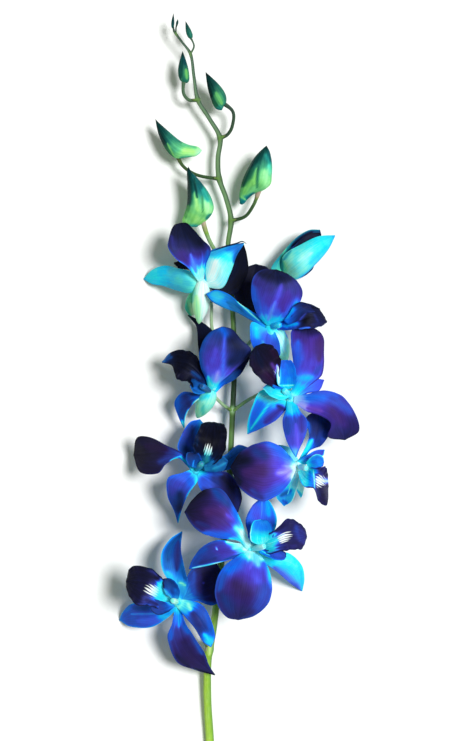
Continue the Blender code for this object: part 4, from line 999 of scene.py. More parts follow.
BLOOM_6.add(
    "sepal_lower", midrib=[(288, 491, 26), (284, 506, 16)], left=[(297, 488), (292, 501)],
    right=[(284, 484), (276, 496)], rise=2,
    knots=[(0, 0.06, 0), (0.4, 0.13, -0.1), (0.75, 0.3, -0.1), (1, 0.42, 0)],
    rims=((0.04, 0, 1), (0.12, 0, 1)),
    marks=[
        (281, 495, 291, 490, 3, 0.56, -0.3), (283, 500, 287, 503, 1.6, 0.5, 0),
        (291, 484, 288, 494, 0.8, 0.02, 0), (294, 470, 295, 487, 5, 0.06, 0),
    ],
)
BLOOM_6.add(
    "sepal_right", midrib=[(311, 456, 38), (324.5, 450, 35)], left=[(307, 455), (317, 450)],
    right=[(312, 459), (323, 456)], rise=1, knots=[(0, 0.1, 0), (0.4, 0.36, 0.4), (1, 0.5, 0.7)],
    rims=((0.35, 0, 0.8), (0.1, 0, 0.9)), marks=[(313, 454, 321, 451, 2, 0.45, 0.5)],
)
BLOOM_6.add(
    "lip", midrib=[(310, 478, 44), (320, 484, 40), (328.5, 487, 30)],
    left=[(308, 466), (318, 468), (326, 467)], right=[(303, 486), (314, 489), (319, 502), (327, 505)], rise=4,
    knots=[(0, 0.1, 0), (0.2, 0.13, 0), (0.36, 0.3, 0), (0.5, 0.6, 0.7), (0.7, 0.8, 0.9), (1, 0.8, 0.9)],
    rims=((0.8, 0.8, 1), (0.78, 0.7, 1.2)),
    marks=[
        (303, 469, 305, 485, 5, 0.13, 0), (310, 471, 311, 486, 2.2, 0.36, 0.05),
        (313.7, 470, 314.3, 488, 1, 0.06, 0.1), (317, 480, 327, 481, 3.6, 0.02, 0.5),
        (320, 469, 326, 471, 3, 0.76, 0.9), (320, 492, 326, 501, 4, 0.84, 0.9),
        (317, 488, 320, 496, 1.5, 0.76, 0.5),
    ],
    fan=(314, 481, 329, 481, 5.5, 0.9),
)
BLOOM_6.add(
    "lobe_upper", foot=(307, 465, 42), midrib=[(316, 461.5, 46), (324, 462, 45)],
    left=[(311, 457), (317, 454), (323, 457)], right=[(312, 468), (318, 469), (323, 466)], rise=2,
    knots=[(0, 0.14, 0), (0.4, 0.3, 0), (1, 0.4, 0.1)], rims=((0.1, 0.1, 0.9), (0.5, 0.2, 0.9)),
    marks=[(314, 462, 320, 462, 3.5, 0.36, 0.05), (316, 470, 321, 468, 1.5, 0.7, 0.6)],
)

# Bloom 7, across the stem, the largest, whose lip faces right
BLOOM_7 = Bloom(
    "bloom_7", middle=(251, 549, 34), joint=600, stalk=[(240, 563, 21), (228, 583, 13)],
    column=(264, 546, 43), column_colour=(0.06, -0.1), hub_colour=(0.04, -0.1),
)
BLOOM_7.add_chin(
    tip=(263, 546, 21), radius=3, knots=[(0, 0.1, 0), (1, 0.15, -0.2)],
)
BLOOM_7.add(
    "petal_left", midrib=[(232, 528, 44), (212, 514, 44), (184.5, 512, 36)],
    left=[(238, 541), (215, 537.5), (199, 531.5), (189, 521)],
    right=[(246, 533), (236, 510), (221, 489), (204, 490), (192, 500)], rise=-2, wave=0.4,
    knots=[
        (0, 0.04, 0), (0.13, 0.12, 0.1), (0.28, 0.42, 0.5), (0.5, 0.6, 1.3), (0.75, 0.78, 1.2),
        (1, 0.88, 0.8),
    ],
    rims=((0.46, 0.1, 3), (0.5, 0.2, 2.4)),
    marks=[
        (220, 506, 230, 520, 3, 0.52, 1.5), (231, 500, 237, 520, 4, 0.44, 0.1),
        (204, 533, 230, 535, 5, 0.43, 0.1), (189, 500, 202, 492, 8, 0.9, 0.9),
        (208, 512, 220, 512, 6, 0.64, 1.7), (214, 490, 228, 504, 6, 0.6, 0.15),
        (239, 512, 245, 530, 3.4, 0.15, 0), (234, 520, 226, 514, 2, 0.4, 1),
        (243, 532, 236, 528, 3.8, 0.08, 0), (248, 542, 241, 532, 4.5, 0.03, 0),
        (240, 542, 230, 539, 3, 0.09, 0), (196, 522, 210, 527, 3, 0.66, 0.6),
    ],
)
BLOOM_7.add(
    "petal_lower", midrib=[(248, 575, 47), (244, 598, 48), (238, 620, 39)],
    left=[(262, 557), (270, 573), (272, 590), (268, 604), (254, 616)],
    right=[(239, 555), (222, 569), (215, 588), (218, 606), (227, 617.5)], rise=-3, wave=0.5,
    knots=[(0, 0.02, 0), (0.08, 0.1, 0), (0.2, 0.4, 0.6), (0.42, 0.54, 1), (0.62, 0.68, 1.1), (1, 0.74, 0.6)],
    rims=((0.44, 0.1, 3.4), (0.4, 0.1, 2.4)),
    marks=[
        (248, 557, 263, 559.5, 4.2, 0.05, 0), (248, 568, 260, 582, 6, 0.42, 0.9),
        (228, 572, 238, 562, 7, 0.42, 0.05), (219, 590, 224, 574, 5, 0.52, 0.1),
        (268.5, 558, 270, 588, 3.2, 0.2, 0), (266, 588, 258, 606, 8, 0.52, 0.4),
        (236, 584, 242, 594, 7, 0.72, 1.3), (222, 596, 232, 610, 6, 0.68, 0.4),
        # The second mark on this line is a painted highlight
        (252, 562, 250, 570, 1.5, 0.3, 0.9), (255, 557, 258, 565, 3.6, 0.13, 0.25),
    ],
)
BLOOM_7.add(
    "sepal_dorsal", midrib=[(228, 550, 37), (208, 555, 35), (189, 569, 28)],
    left=[(236, 558), (220, 562.5), (202, 567)], right=[(236, 543), (218, 540), (202, 547), (192, 560)],
    rise=1,
    knots=[
        (0, 0.04, 0), (0.13, 0.2, 0.2), (0.3, 0.46, 0.7), (0.6, 0.6, 0.6), (0.85, 0.58, 0.2), (1, 0.45, 0),
    ],
    rims=((0.48, 0.2, 1), (0.5, 0.1, 1.5)),
    marks=[
        (218, 550, 232, 552, 5, 0.54, 0.9), (198, 553, 206, 549, 3.5, 0.56, 0.1),
        (192, 568, 222, 562, 1.1, 0.06, 0.1), (222, 562, 230, 562.5, 1, 0.12, 0.2),
        # The first mark on this line is a painted glint
        (216.6, 545, 217, 550, 0.7, 0.1, 0.3), (200, 563, 216, 558, 3, 0.64, 0.6),
        (213, 539, 232, 538.5, 1.2, 0.12, 0), (224, 560, 244, 553, 1, 0.62, 0),
        (240, 546, 234, 548, 3, 0.1, 0.1), (226, 541.5, 243, 545, 3.4, 0.07, -0.05),
        (244, 549, 250, 550, 3, 0.03, -0.1),
    ],
)
BLOOM_7.add(
    "sepal_upper", midrib=[(260, 524, 30), (263, 497, 25)], left=[(248, 535), (245.5, 521), (252, 506)],
    right=[(269, 540), (277, 521), (271, 503)], rise=1.5,
    knots=[(0, 0.1, 0), (0.25, 0.3, 0), (0.6, 0.42, 0.3), (1, 0.4, 0.1)],
    rims=((0.55, 0.1, 1.6), (0.2, -0.1, 1.6)),
    marks=[
        (254, 506, 258, 518, 4.5, 0.45, 0.6), (267, 502, 269, 516, 3.5, 0.3, 0),
        (249, 522, 250, 534, 2, 0.5, 0), (262, 500, 262, 520, 1, 0.3, 0.3),
    ],
)
BLOOM_7.add(
    "sepal_right", midrib=[(276, 562, 30), (293, 568, 22), (302, 591, 0.45)],
    left=[(272, 556), (287, 552.5), (301, 564), (304.5, 578)], right=[(265, 564), (276, 571), (291, 584)],
    rise=-1.5, knots=[(0, 0.12, -0.2), (0.3, 0.17, -0.1), (0.7, 0.17, 0), (1, 0.22, 0)],
    rims=((0.16, 0, 1.2), (0.42, 0.4, 1)),
    marks=[
        (274, 567, 299, 588, 4.5, 0.36, 0.6), (284, 559, 297, 566, 3.5, 0.13, -0.1),
        (301, 570, 302, 586, 1.6, 0.22, 0), (290, 582, 298, 588, 2, 0.46, 0.4),
    ],
)
BLOOM_7.add(
    "lip", midrib=[(272, 543, 46), (288, 537, 48), (307, 537, 42)],
    left=[(264, 535), (274, 531), (288.5, 518.5), (304, 527)],
    right=[(268, 554), (283, 551), (296, 549.5), (302, 549)], rise=4,
    knots=[(0, 0.1, 0), (0.2, 0.13, 0), (0.36, 0.15, 0), (0.47, 0.6, 0.6), (0.65, 0.77, 0.8), (1, 0.76, 0.9)],
    rims=((0.8, 0.7, 1.2), (0.8, 0.7, 1.2)),
    marks=[
        (275, 531, 289, 522, 3, 0.78, 0.8), (296, 527, 300, 540, 4, 0.58, 0.5),
        (268, 546, 284, 535, 4, 0.12, 0), (286, 548, 296, 546, 2.5, 0.7, 0.8),
        (301, 530, 304, 544, 3.5, 0.64, 0.7),
    ],
    fan=(277, 541.5, 295, 531, 4.1, 0.95),
)
BLOOM_7.add(
    "lobe_upper", foot=(262, 545, 42), midrib=[(262, 532, 46), (261, 519.5, 47)],
    left=[(251, 541), (250.5, 530), (254, 521)], right=[(273, 538), (273, 530), (269, 521)], rise=2.5,
    knots=[(0, 0.12, 0), (0.3, 0.15, 0), (0.65, 0.34, -0.2), (1, 0.42, -0.1)],
    rims=((0.06, 0, 0.9), (0.52, 0, 1)),
    marks=[(258, 524, 266, 527, 4.5, 0.4, -0.1), (258, 538, 269, 540, 3.5, 0.13, 0)],
)
BLOOM_7.add(
    "lobe_lower", foot=(260, 550, 42), midrib=[(272, 555, 44), (286, 557, 44)],
    left=[(267, 550), (280, 549.5), (286, 553)], right=[(266, 556), (276, 560), (284, 560)], rise=1.5,
    knots=[(0, 0.3, 0), (0.4, 0.5, 0.1), (1, 0.5, 0.3)], rims=((0.75, 0.3, 1), (0.35, 0, 1)),
    marks=[(270, 553, 282, 556, 2.2, 0.46, 0.3), (262, 551, 270, 556, 0.9, 0.12, 0)],
)

# Bloom 8, the lowest, left of the stem, whose lip faces left
BLOOM_8 = Bloom(
    "bloom_8", middle=(178, 602, 26), joint=650, stalk=[(189, 616, 16), (200, 634, 10)],
    column=(173, 600, 35), column_colour=(0.1, -0.5), hub_colour=(0.18, -0.5),
)
BLOOM_8.add_chin(
    tip=(172, 594, 14), radius=3, knots=[(0, 0.2, -0.2), (1, 0.3, -0.4)],
)
BLOOM_8.add(
    "petal_lower", midrib=[(181, 632, 24), (190, 652, 19), (215, 675, 13)],
    left=[(184, 620), (195, 638), (204, 652), (210, 667)],
    right=[(172, 623), (167.5, 638), (177, 662), (195, 670)], rise=1, wave=0.3,
    knots=[(0, 0.14, -0.2), (0.14, 0.34, 0), (0.32, 0.62, 0.7), (0.6, 0.77, 1.1), (1, 0.8, 0.8)],
    rims=((0.52, 0.1, 2.4), (0.54, 0.1, 2)),
    marks=[
        (171, 626, 171, 640, 2.5, 0.5, 0.1), (191, 634, 202, 654, 3.5, 0.56, 0.2),
        (180, 618, 179, 626, 2.5, 0.3, -0.1), (176, 655, 190, 667, 3, 0.84, 0.8),
        (194, 668, 214, 675, 1, 0.9, 0.4), (184, 643, 190, 655, 6, 0.78, 1.1),
        (184, 626, 188, 632, 3, 0.5, 0),
    ],
)
BLOOM_8.add(
    "petal_right", midrib=[(203, 585, 20), (226, 579, 17)], left=[(184, 585), (192, 569), (212, 560)],
    right=[(197, 601), (212, 605.5), (224, 597)], rise=1,
    knots=[(0, 0.34, -0.6), (0.18, 0.48, -0.4), (0.35, 0.62, 0.3), (0.6, 0.8, 0.9), (1, 0.9, 0.8)],
    rims=((0.6, 0, 2), (0.5, 0, 2.6)),
    marks=[
        (194, 572, 194, 594, 3, 0.56, 0.2), (200, 575, 200, 592, 4, 0.66, 0.9),
        (206, 572, 208, 588, 6, 0.82, 0.9), (192, 602, 214, 604, 2.4, 0.5, 0),
        # A painted glint
        (202, 583, 205, 583, 0.8, 0.45, 0.7),
    ],
)
BLOOM_8.add(
    "sepal_dorsal", midrib=[(197, 616, 29), (206, 631, 27), (211, 647, 19)],
    left=[(199, 603), (208, 613), (215, 636)], right=[(186, 618), (196, 630), (203, 642)], rise=-1,
    knots=[
        (0, 0.1, -0.5), (0.18, 0.3, -0.3), (0.35, 0.52, 0.2), (0.6, 0.64, 0.4), (0.76, 0.5, 0),
        (0.9, 0.22, 0), (1, 0.2, 0),
    ],
    rims=((0.45, 0, 1.4), (0.5, 0.2, 1.2)),
    marks=[
        (192, 612, 200, 626, 4, 0.68, 0.6), (205, 612, 210, 628, 2.6, 0.5, 0.1),
        (204, 634, 212, 642, 3.2, 0.18, 0), (188, 604, 191, 610, 2.5, 0.1, -0.5),
    ],
)
BLOOM_8.add(
    "sepal_upper", midrib=[(176, 572, 28), (174, 552, 25), (182, 531.5, 15)],
    left=[(170, 584), (162, 569), (161.5, 553), (170, 539)], right=[(188, 586), (184, 566), (181, 548)],
    rise=2, knots=[(0, 0.16, -0.2), (0.2, 0.3, -0.3), (0.45, 0.5, -0.25), (0.8, 0.62, -0.1), (1, 0.7, -0.1)],
    rims=((0.27, -0.1, 2), (0.5, -0.25, 1.6)),
    marks=[
        (171, 544, 168, 560, 4, 0.6, -0.15), (178, 542, 177, 570, 4, 0.68, 0.5),
        (167, 572, 176, 584, 4, 0.24, -0.1), (182, 566, 186, 580, 2.4, 0.56, -0.2),
        (174, 576, 182, 584, 2, 0.34, -0.3), (181, 588, 184, 598, 4, 0.38, -0.4),
        (179, 582, 186, 585, 1.2, 0.17, -0.8),
    ],
)
BLOOM_8.add(
    "sepal_left", midrib=[(155, 614, 21), (138, 615, 14), (119.5, 620, 0.45)],
    left=[(166, 619), (150, 627.5), (130, 626.5)], right=[(164, 607), (147, 603), (131, 604), (122, 613)],
    rise=1.5, knots=[(0, 0.2, -0.2), (0.25, 0.36, 0), (0.55, 0.48, 0.4), (0.85, 0.48, 0.2), (1, 0.4, -0.1)],
    rims=((0.32, -0.1, 1.4), (0.3, -0.1, 1.3)),
    marks=[
        (138, 621, 160, 621, 4, 0.4, 0.4), (131, 614, 158, 613.4, 1.2, 0.3, 0.2),
        (126, 611, 130, 606, 2.5, 0.44, -0.1), (160, 617, 168, 617, 3, 0.28, -0.1),
        (134, 608, 150, 607, 3, 0.56, 0.1),
    ],
)
BLOOM_8.add(
    "lip", midrib=[(158, 593, 38), (146, 585, 40), (126, 581, 33)],
    left=[(163, 609), (150, 606), (135, 604), (127, 591)],
    right=[(170, 588), (163, 579), (150, 568), (131, 567)], rise=4,
    knots=[
        (0, 0.12, -0.2), (0.2, 0.14, -0.1), (0.38, 0.18, -0.1), (0.5, 0.6, 0.6), (0.62, 0.86, 0.8),
        (1, 0.9, 0.7),
    ],
    rims=((0.88, 0.6, 1.2), (0.9, 0.6, 1.4)),
    marks=[
        (154, 590, 166, 598, 4, 0.15, -0.1), (140, 575, 158, 578, 5, 0.87, 0.8),
        (164, 578, 168, 586, 1, 0.9, 0.2), (146, 600, 158, 605, 3.4, 0.72, 0.7),
    ],
    fan=(160, 594, 141, 586, 5, 1),
)
BLOOM_8.add(
    "lobe_upper", foot=(176, 599, 35), midrib=[(173, 590, 38), (167, 578, 38)],
    left=[(166, 594), (163, 586), (163, 579)], right=[(180, 592), (177, 584), (172, 579)], rise=2,
    knots=[(0, 0.4, -0.3), (0.4, 0.6, 0), (1, 0.72, 0)], rims=((0.88, 0.2, 1.2), (0.5, 0, 1.2)),
    marks=[(176, 590, 180, 593, 2.5, 0.46, -0.2), (163, 589, 171, 598, 2.6, 0.3, -0.5)],
)
BLOOM_8.add(
    "lobe_lower", foot=(174, 604, 34), midrib=[(162, 608, 37), (151, 604, 39)],
    left=[(168, 612), (158, 615), (151, 610)], right=[(166, 602), (158, 600), (151, 599)], rise=1.5,
    knots=[(0, 0.35, -0.2), (0.4, 0.58, 0.1), (1, 0.62, 0.4)], rims=((0.72, 0.2, 1.2), (0.6, 0.3, 1.2)),
    marks=[(156, 606, 162, 609, 3, 0.6, 0.4), (164, 600, 172, 605, 1.4, 0.28, -0.2)],
)

BLOOMS = [BLOOM_1, BLOOM_2, BLOOM_3, BLOOM_4, BLOOM_5, BLOOM_6, BLOOM_7, BLOOM_8]

# The opening bloom, above the others: blades that still stand together round its middle
OPENING = Bloom(
    "opening_bloom", middle=(284, 275, 15), joint=300, stalk=[(263, 284, 14), (245, 294, 12)],
)
OPENING.add(
    "sepal_front", midrib=[(297, 266, 26), (312, 253, 28), (335, 235.5, 23)],
    left=[(281, 267), (284, 255), (300, 245), (318, 236.5)],
    right=[(292, 280), (300, 278), (314, 266), (328, 250)], rise=-6,
    knots=[
        (0, 0.22, -0.9), (0.14, 0.15, -0.7), (0.28, 0.12, -0.4), (0.42, 0.12, -0.2), (0.62, 0.12, -0.1),
        (0.8, 0.15, -0.1), (0.92, 0.2, -0.1), (1, 0.4, -0.15),
    ],
    rims=((0.14, -0.1, 0.9), (0.28, -0.1, 1.8)),
    marks=[
        (282, 262, 286, 270, 3, 0.26, -1.1), (284, 260, 291, 251, 1.5, 0.42, -0.7),
        (298, 261, 312, 253, 3, 0.07, -0.2), (310, 263, 328, 246, 4, 0.2, -0.1),
        (282, 259, 283, 272, 1.4, 0.5, -1),
    ],
)
OPENING.add(
    "sepal_left", midrib=[(288, 254, 15), (303, 239, 16), (320, 230, 16)],
    left=[(271, 269), (283, 252), (296, 238), (309, 230)], right=[(292, 262), (305, 248), (321, 236)],
    rise=2, tilt=2, knots=[(0, 0.3, -1), (0.4, 0.55, -0.9), (0.7, 0.75, -0.5), (1, 0.66, -0.6)],
    rims=((0.46, -1, 1.4), (0.8, 0, 1)),
    marks=[(292, 246, 312, 232, 2.8, 0.92, 0.3), (286, 248, 279, 262, 1.2, 0.3, -1)],
)
OPENING.add(
    "sepal_under", midrib=[(301, 268, 6), (316, 257, 0.45)], left=[(290, 264), (304, 254)],
    right=[(298, 279), (312, 270)], rise=2, knots=[(0, 0.3, -0.6), (0.5, 0.7, -0.3), (1, 0.85, -0.2)],
)
OPENING.add(
    "petal_inner", midrib=[(295, 258, 19), (308, 244, 20), (320, 233, 19)],
    left=[(283, 262), (294, 246), (309, 234)], right=[(300, 264), (312, 250), (321, 239)], rise=1,
    knots=[(0, 0.6, -0.3), (0.4, 0.9, 0.3), (1, 0.88, 0.4)], rims=((0.5, 0, 0.8), (0.85, 0.3, 1)),
)

# The buds, from the tip down
BUD_1 = Bud(
    "bud_1", tip=(173.5, 13, 14.5), base=(172.5, 28.6, 13.7), radius=0.9,
    knots=[(0, 0.74, 0.4), (0.5, 0.8, 0.6), (1, 0.92, 0.6)],
)
BUD_2 = Bud(
    "bud_2", tip=(178, 19, 14.5), base=(176.8, 25, 14), radius=0.7, joint=34, stalk=[(176, 28, 13.7)],
    stalk_knots=[(0, 0.74, 1), (1, 0.8, 1)], knots=[(0, 0.76, 0.4), (1, 0.9, 0.5)],
)
BUD_3 = Bud(
    "bud_3", tip=(185.5, 21, 16), base=(191, 39, 14), radius=1.6, chin=(192.5, 38, 13), joint=54,
    stalk=[(194, 46, 13)], stalk_knots=[(0, 0.62, 0.8), (1, 0.66, 1)],
    knots=[(0, 0.64, 0.4), (0.4, 0.66, 0.5), (0.7, 0.78, 0.4), (1, 0.95, 0.2)],
    marks=[(190, 32, 191, 37, 1, 0.56, 0.5)],
)
BUD_4 = Bud(
    "bud_4", tip=(182.5, 51, 16), base=(184, 83, 13.5), radius=3, chin=(188, 83, 13), joint=100,
    stalk=[(183.5, 93, 12), (189, 100, 11.5)], stalk_knots=[(0, 0.62, 0.5), (1, 0.6, 0.8)],
    knots=[(0, 0.6, 0.4), (0.35, 0.6, 0.3), (0.7, 0.78, 0.5), (1, 0.95, 0.4)],
    marks=[
        # The first mark is a painted highlight down the bud's lit right side, the second painted shade down
        # its left side
        (186, 69, 187, 79, 2, 0.38, 0), (181, 62, 180.5, 78, 2, 0.8, 0.3), (184, 58, 185, 64, 1.8, 0.78, 0.8),
    ],
)
BUD_5 = Bud(
    "bud_5", tip=(205.5, 72, 18), base=(224, 106, 14), radius=4.1, chin=(220, 114, 13), joint=138,
    stalk=[(233, 112, 13), (232, 127, 12), (227, 135, 11.5)], stalk_knots=[(0, 0.76, 0.4), (1, 0.78, 0.8)],
    knots=[(0, 0.56, 0.6), (0.2, 0.56, 0.3), (0.45, 0.62, 0.3), (0.7, 0.8, 0.4), (1, 0.98, 0.3)],
    marks=[
        # The first mark is painted shade down the bud's left side, away from the key light
        (208, 80, 213, 100, 3.6, 0.9, 0.2), (214, 96, 217, 105, 2.4, 0.72, 0.1),
        (225, 92, 227, 102, 2.4, 0.66, 0.4), (216, 93, 222, 104, 3.2, 0.36, 0),
        (212, 98, 217, 106, 1.6, 0.68, 0.1), (217, 110, 221, 113, 2.2, 0.62, 0.9),
    ],
)
BUD_6 = Bud(
    "bud_6", tip=(155.5, 119, 13), base=(178, 156, 12), radius=5, chin=(201, 150, 15), joint=179,
    stalk=[(183, 166, 10), (197, 175, 10)], stalk_knots=[(0, 0.72, 0.3), (0.6, 0.7, 0.1), (1, 0.62, -0.3)],
    knots=[
        (0, 0.12, 0.8), (0.1, 0.17, 0.4), (0.25, 0.27, 0.2), (0.42, 0.44, 0.3), (0.58, 0.6, 0.5),
        (0.75, 0.76, 0.6), (0.9, 0.92, 0.4), (1, 0.98, 0.3),
    ],
    marks=[
        # The first mark is painted shade down the bud's lower left side, away from the key light
        (157, 123, 165, 148, 5, 0.86, 0.3), (164, 146, 172, 157, 3.2, 0.62, 0.1),
        (169, 130, 181, 142, 3, 0.56, 0.5), (182, 144, 196, 148, 2, 0.36, 0.4),
        (180, 158, 193, 157, 2, 0.42, 0.6), (184, 151, 193, 152, 3.5, 0.19, 0),
        (167, 143, 174, 156, 1, 0.3, 0),
    ],
    outline=[
        ((199.5, 153.8), (199.5, 153.8), 14.5, 0), ((193, 156.5), (200.8, 149.5), 14.5, 1.6),
        ((184, 158), (197, 146.5), 14, 2.4), ((176, 158.3), (189.5, 145), 13, 3.6),
        ((170, 154.5), (183, 142.5), 12.5, 4.4), ((165.5, 149), (177.5, 139), 12.5, 4.5),
        ((162, 142.5), (171.5, 134), 12.5, 4), ((159, 135.5), (166.5, 129.5), 12.7, 3.2),
        ((157, 128.5), (161.5, 125), 12.8, 2), ((155.9, 123), (158, 121.8), 13, 0.9),
        ((155.3, 118.8), (155.3, 118.8), 13, 0),
    ],
)
BUD_7 = Bud(
    "bud_7", tip=(188, 166, 19), base=(202, 214, 14), radius=7.4, chin=(192, 226, 12), joint=262,
    stalk=[(206, 232, 11), (215, 250, 10.5)],
    stalk_knots=[(0, 0.5, 0.3), (0.5, 0.34, 0.5), (0.66, 0.3, -0.4), (0.8, 0.26, -0.9), (1, 0.2, -0.8)],
    stalk_swell=[(0, 1.3), (0.15, 1.1), (0.5, 1.2), (0.7, 1.45), (1, 1.6)],
    knots=[
        (0, 0.5, 0.6), (0.08, 0.34, 0.1), (0.2, 0.26, 0), (0.36, 0.34, 0.2), (0.52, 0.56, 0.7),
        (0.72, 0.72, 0.8), (0.88, 0.86, 0.5), (1, 0.96, 0.3),
    ],
    marks=[
        # The first mark is painted shade down the bud's left side, away from the key light
        (189, 174, 188, 206, 4.4, 0.86, 0.2), (188, 206, 186, 217, 3, 0.5, 0),
        (193, 172, 205, 200, 3.2, 0.68, 0.8), (204, 186, 212, 204, 2.4, 0.5, 0.5),
        (195, 192, 198, 211, 3.2, 0.2, 0.05), (206, 201, 208, 211, 5, 0.14, 0.25),
        (203, 190, 208, 200, 3.4, 0.44, 0.9), (188, 214, 192, 221, 3.2, 0.34, 0),
        (200, 215, 206, 216, 2.2, 0.36, 0.1), (202, 196, 203, 213, 1.3, 0.56, 0.2),
        (194, 178, 197, 198, 1.3, 0.82, 0.4), (186, 226.5, 200, 226.5, 2.2, 0.48, 0.9),
        (206, 219, 211, 214, 1.6, 0.56, 0.7),
    ],
    outline=[
        ((191, 227), (191, 227), 11.5, 0), ((184.5, 225.5), (198, 226), 11.8, 2.2),
        ((182.2, 220.5), (206, 221), 12.5, 4.4), ((184.3, 214), (211.5, 215), 13.5, 6),
        ((186.8, 206), (214, 208), 14.5, 6.6), ((187.6, 198), (212, 199), 15.2, 6.6),
        ((187.6, 190), (207.5, 190.5), 16, 5.8), ((187.4, 182), (201, 182), 17, 4.4),
        ((187, 175.5), (195.5, 175.8), 18, 2.8), ((187, 170.5), (191, 171), 18.6, 1.3),
        ((188.5, 166.5), (188.5, 166.5), 19, 0),
    ],
)
BUD_8 = Bud(
    "bud_8", tip=(266.5, 145, 19), base=(260.5, 185, 16.5), radius=6.2, chin=(241, 205, 12), joint=221,
    stalk=[(257.5, 195, 12), (253, 206, 11.5), (245, 216.5, 11)],
    stalk_knots=[(0, 0.78, 0.2), (0.4, 0.74, 0.2), (0.58, 0.6, 0.1), (0.7, 0.3, -0.9), (1, 0.2, -0.8)],
    stalk_swell=[(0, 1.25), (0.15, 1), (0.6, 1), (0.72, 1.4), (0.8, 1.65), (1, 1.7)],
    knots=[
        (0, 0.56, 1), (0.12, 0.52, 0.9), (0.22, 0.34, 0.2), (0.4, 0.38, 0.1), (0.6, 0.56, 0.4),
        (0.8, 0.76, 0.6), (1, 0.92, 0.4),
    ],
    marks=[
        # The two marks on the next line are painted shade down the bud's left side, away from the key light
        (243, 186, 252, 166, 4.2, 0.76, 0.1), (252, 166, 264, 148, 4, 0.82, 0.4),
        (266, 155, 270, 163, 3, 0.52, 0.8), (269, 166, 270, 172, 3, 0.3, 0.8),
        (268, 150, 272, 162, 1.8, 0.72, 0.8), (265, 172, 267, 186, 5.2, 0.2, 0.25),
        (243, 194, 253, 180, 3.2, 0.36, 0), (254, 184, 257, 168, 1.7, 0.24, 0),
        (258, 166, 257, 188, 1.5, 0.66, 0.25), (241, 203, 254, 193, 2.2, 0.62, 1),
        (240, 196, 246, 200, 1.4, 0.3, 0.1),
    ],
    outline=[
        ((242, 204.8), (242, 204.8), 12, 0), ((239.8, 201.5), (246.5, 200.5), 12.3, 1.8),
        ((239.2, 196.5), (254.5, 193.8), 13.2, 3.2), ((240.2, 189.5), (264, 190), 14.5, 4.6),
        ((242.2, 181), (270.8, 184), 16, 5.6), ((245.5, 173), (272, 175.5), 17, 5.8),
        ((249.3, 166), (272.4, 167.5), 17.8, 5.4), ((253, 159.5), (271.8, 160), 18.4, 4.4),
        ((257.5, 153.8), (270.5, 153.8), 18.8, 3), ((262, 149.3), (269, 149.8), 19, 1.5),
        ((266.5, 145.5), (266.5, 145.5), 19, 0),
    ],
)
BUDS = [BUD_1, BUD_2, BUD_3, BUD_4, BUD_5, BUD_6, BUD_7, BUD_8]

# The stem's colour from the cut end up, lime, olive and then grey green, and the marks on it
STEM_KNOTS = [
    (0, 0.2, 0), (0.06, 0.12, 0), (0.2, 0.16, 0), (0.3, 0.34, 0), (0.38, 0.46, 0), (0.44, 0.62, 0),
    (0.5, 0.6, 0.1), (0.62, 0.55, 0.12), (0.7, 0.46, 0.3), (0.82, 0.49, 0.6), (0.92, 0.54, 0.85),
    (0.96, 0.6, 0.95), (1, 0.78, 1),
]
STEM_MARKS = [
    (232.5, 376, 232.8, 404, 6, 0.84, 0.3), (232.7, 410, 232.7, 412, 3.2, 0.26, 0.9),
    (232, 418, 232, 424, 5, 0.66, 0), (231.5, 436, 231.3, 446, 6, 0.48, 0.1), (205, 741, 211, 741, 3, 0.1, 0),
    # The first two marks on the next line are painted light: the lower stem nearly white where the key light
    # falls full on it
    (211, 602, 209, 620, 5, 0, 0.3), (210, 642, 209.5, 655, 3, 0.02, 0.22),
    (204.6, 640, 206.2, 650, 2, 0.3, -0.95),
]


# Building the blooms

CHIN_ROOT = 2.4  # how far behind the bloom's middle the chin starts
CHIN_RIB, CHIN_BLUNTNESS = 0.28, 0.7
HUB_TOP = 0.8  # how high a hub reaches, as a share of its radius
HUB_LEAN = 0.6  # how far the chin draws the hub's top to its side
SEPAL_REACH = 0.8
PETAL_REACH, LIP_REACH, COLUMN_REACH = HUB_RADIUS * 0.7, HUB_RADIUS * 0.6, HUB_RADIUS * 0.5
HUB_SIZE = HUB_RADIUS * 0.98
HUB_FOOT_COLOUR, OPENING_FOOT_COLOUR, OPENING_HUB_COLOUR = (0.12, -0.5), (0.3, -1), (0.2, -1)
ROLL_RADIUS, THINNEST_ROLL = 0.5, 0.1
ROLL_KNOTS = [(0, 0.5, -0.3), (0.3, 0.8, -0.3), (1, 0.86, -0.2)]
# A column: its radius, how far it bends up, how deep its hollow side is, and how far its wings stand out
COLUMN_RADIUS, COLUMN_BEND, COLUMN_HOLLOW, COLUMN_WING = 1.72, 0.35, 0.75, 0.42
COLUMN_BLUNTNESS, COLUMN_WIDENING = 0.4, 0.25
# Its anther cap: its radius, its cleft's depth and width, and where it starts and ends, as how far past the
# column's tip and how far below it
CAP_RADIUS, CLEFT_DEPTH, CLEFT_WIDTH = 1.42, 0.22, 0.16
CAP_START, CAP_END = (-1.1, 0.1), (0.7, 0.35)
# How a column and its cap are shaded along their length: times the tone, plus that tone, plus that hue
COLUMN_SHADES = ((0, 1, 0.05, 0), (0.7, 1, 0, 0), (1, 0.8, 0, 0))
CAP_SHADES = ((0, 0.85, 0, 0), (0.6, 0.75, 0, 0), (1, 1, 0.05, 0.1))
# Blooms' seeds are this far apart, and the lip's and its lobes' seeds start at these
SEED_STEP, LIP_SEED, LOBE_SEED, OPENING_SEED = 7, 5, 9, 90


def anchored(middle, first, reach, lift=0.0):
    """Where an organ grows from: this far from the bloom's middle toward the organ's first point."""
    return middle + unit(unit(first - middle) * reach + UP * lift) * reach


def add_hub(form, middle, top, foot_colour, top_colour):
    paint = dict(knots=[(0, *foot_colour), (1, *top_colour)])
    add_rod(form, "hub", [middle - UP * HUB_RADIUS, top], ball(HUB_SIZE), paint)


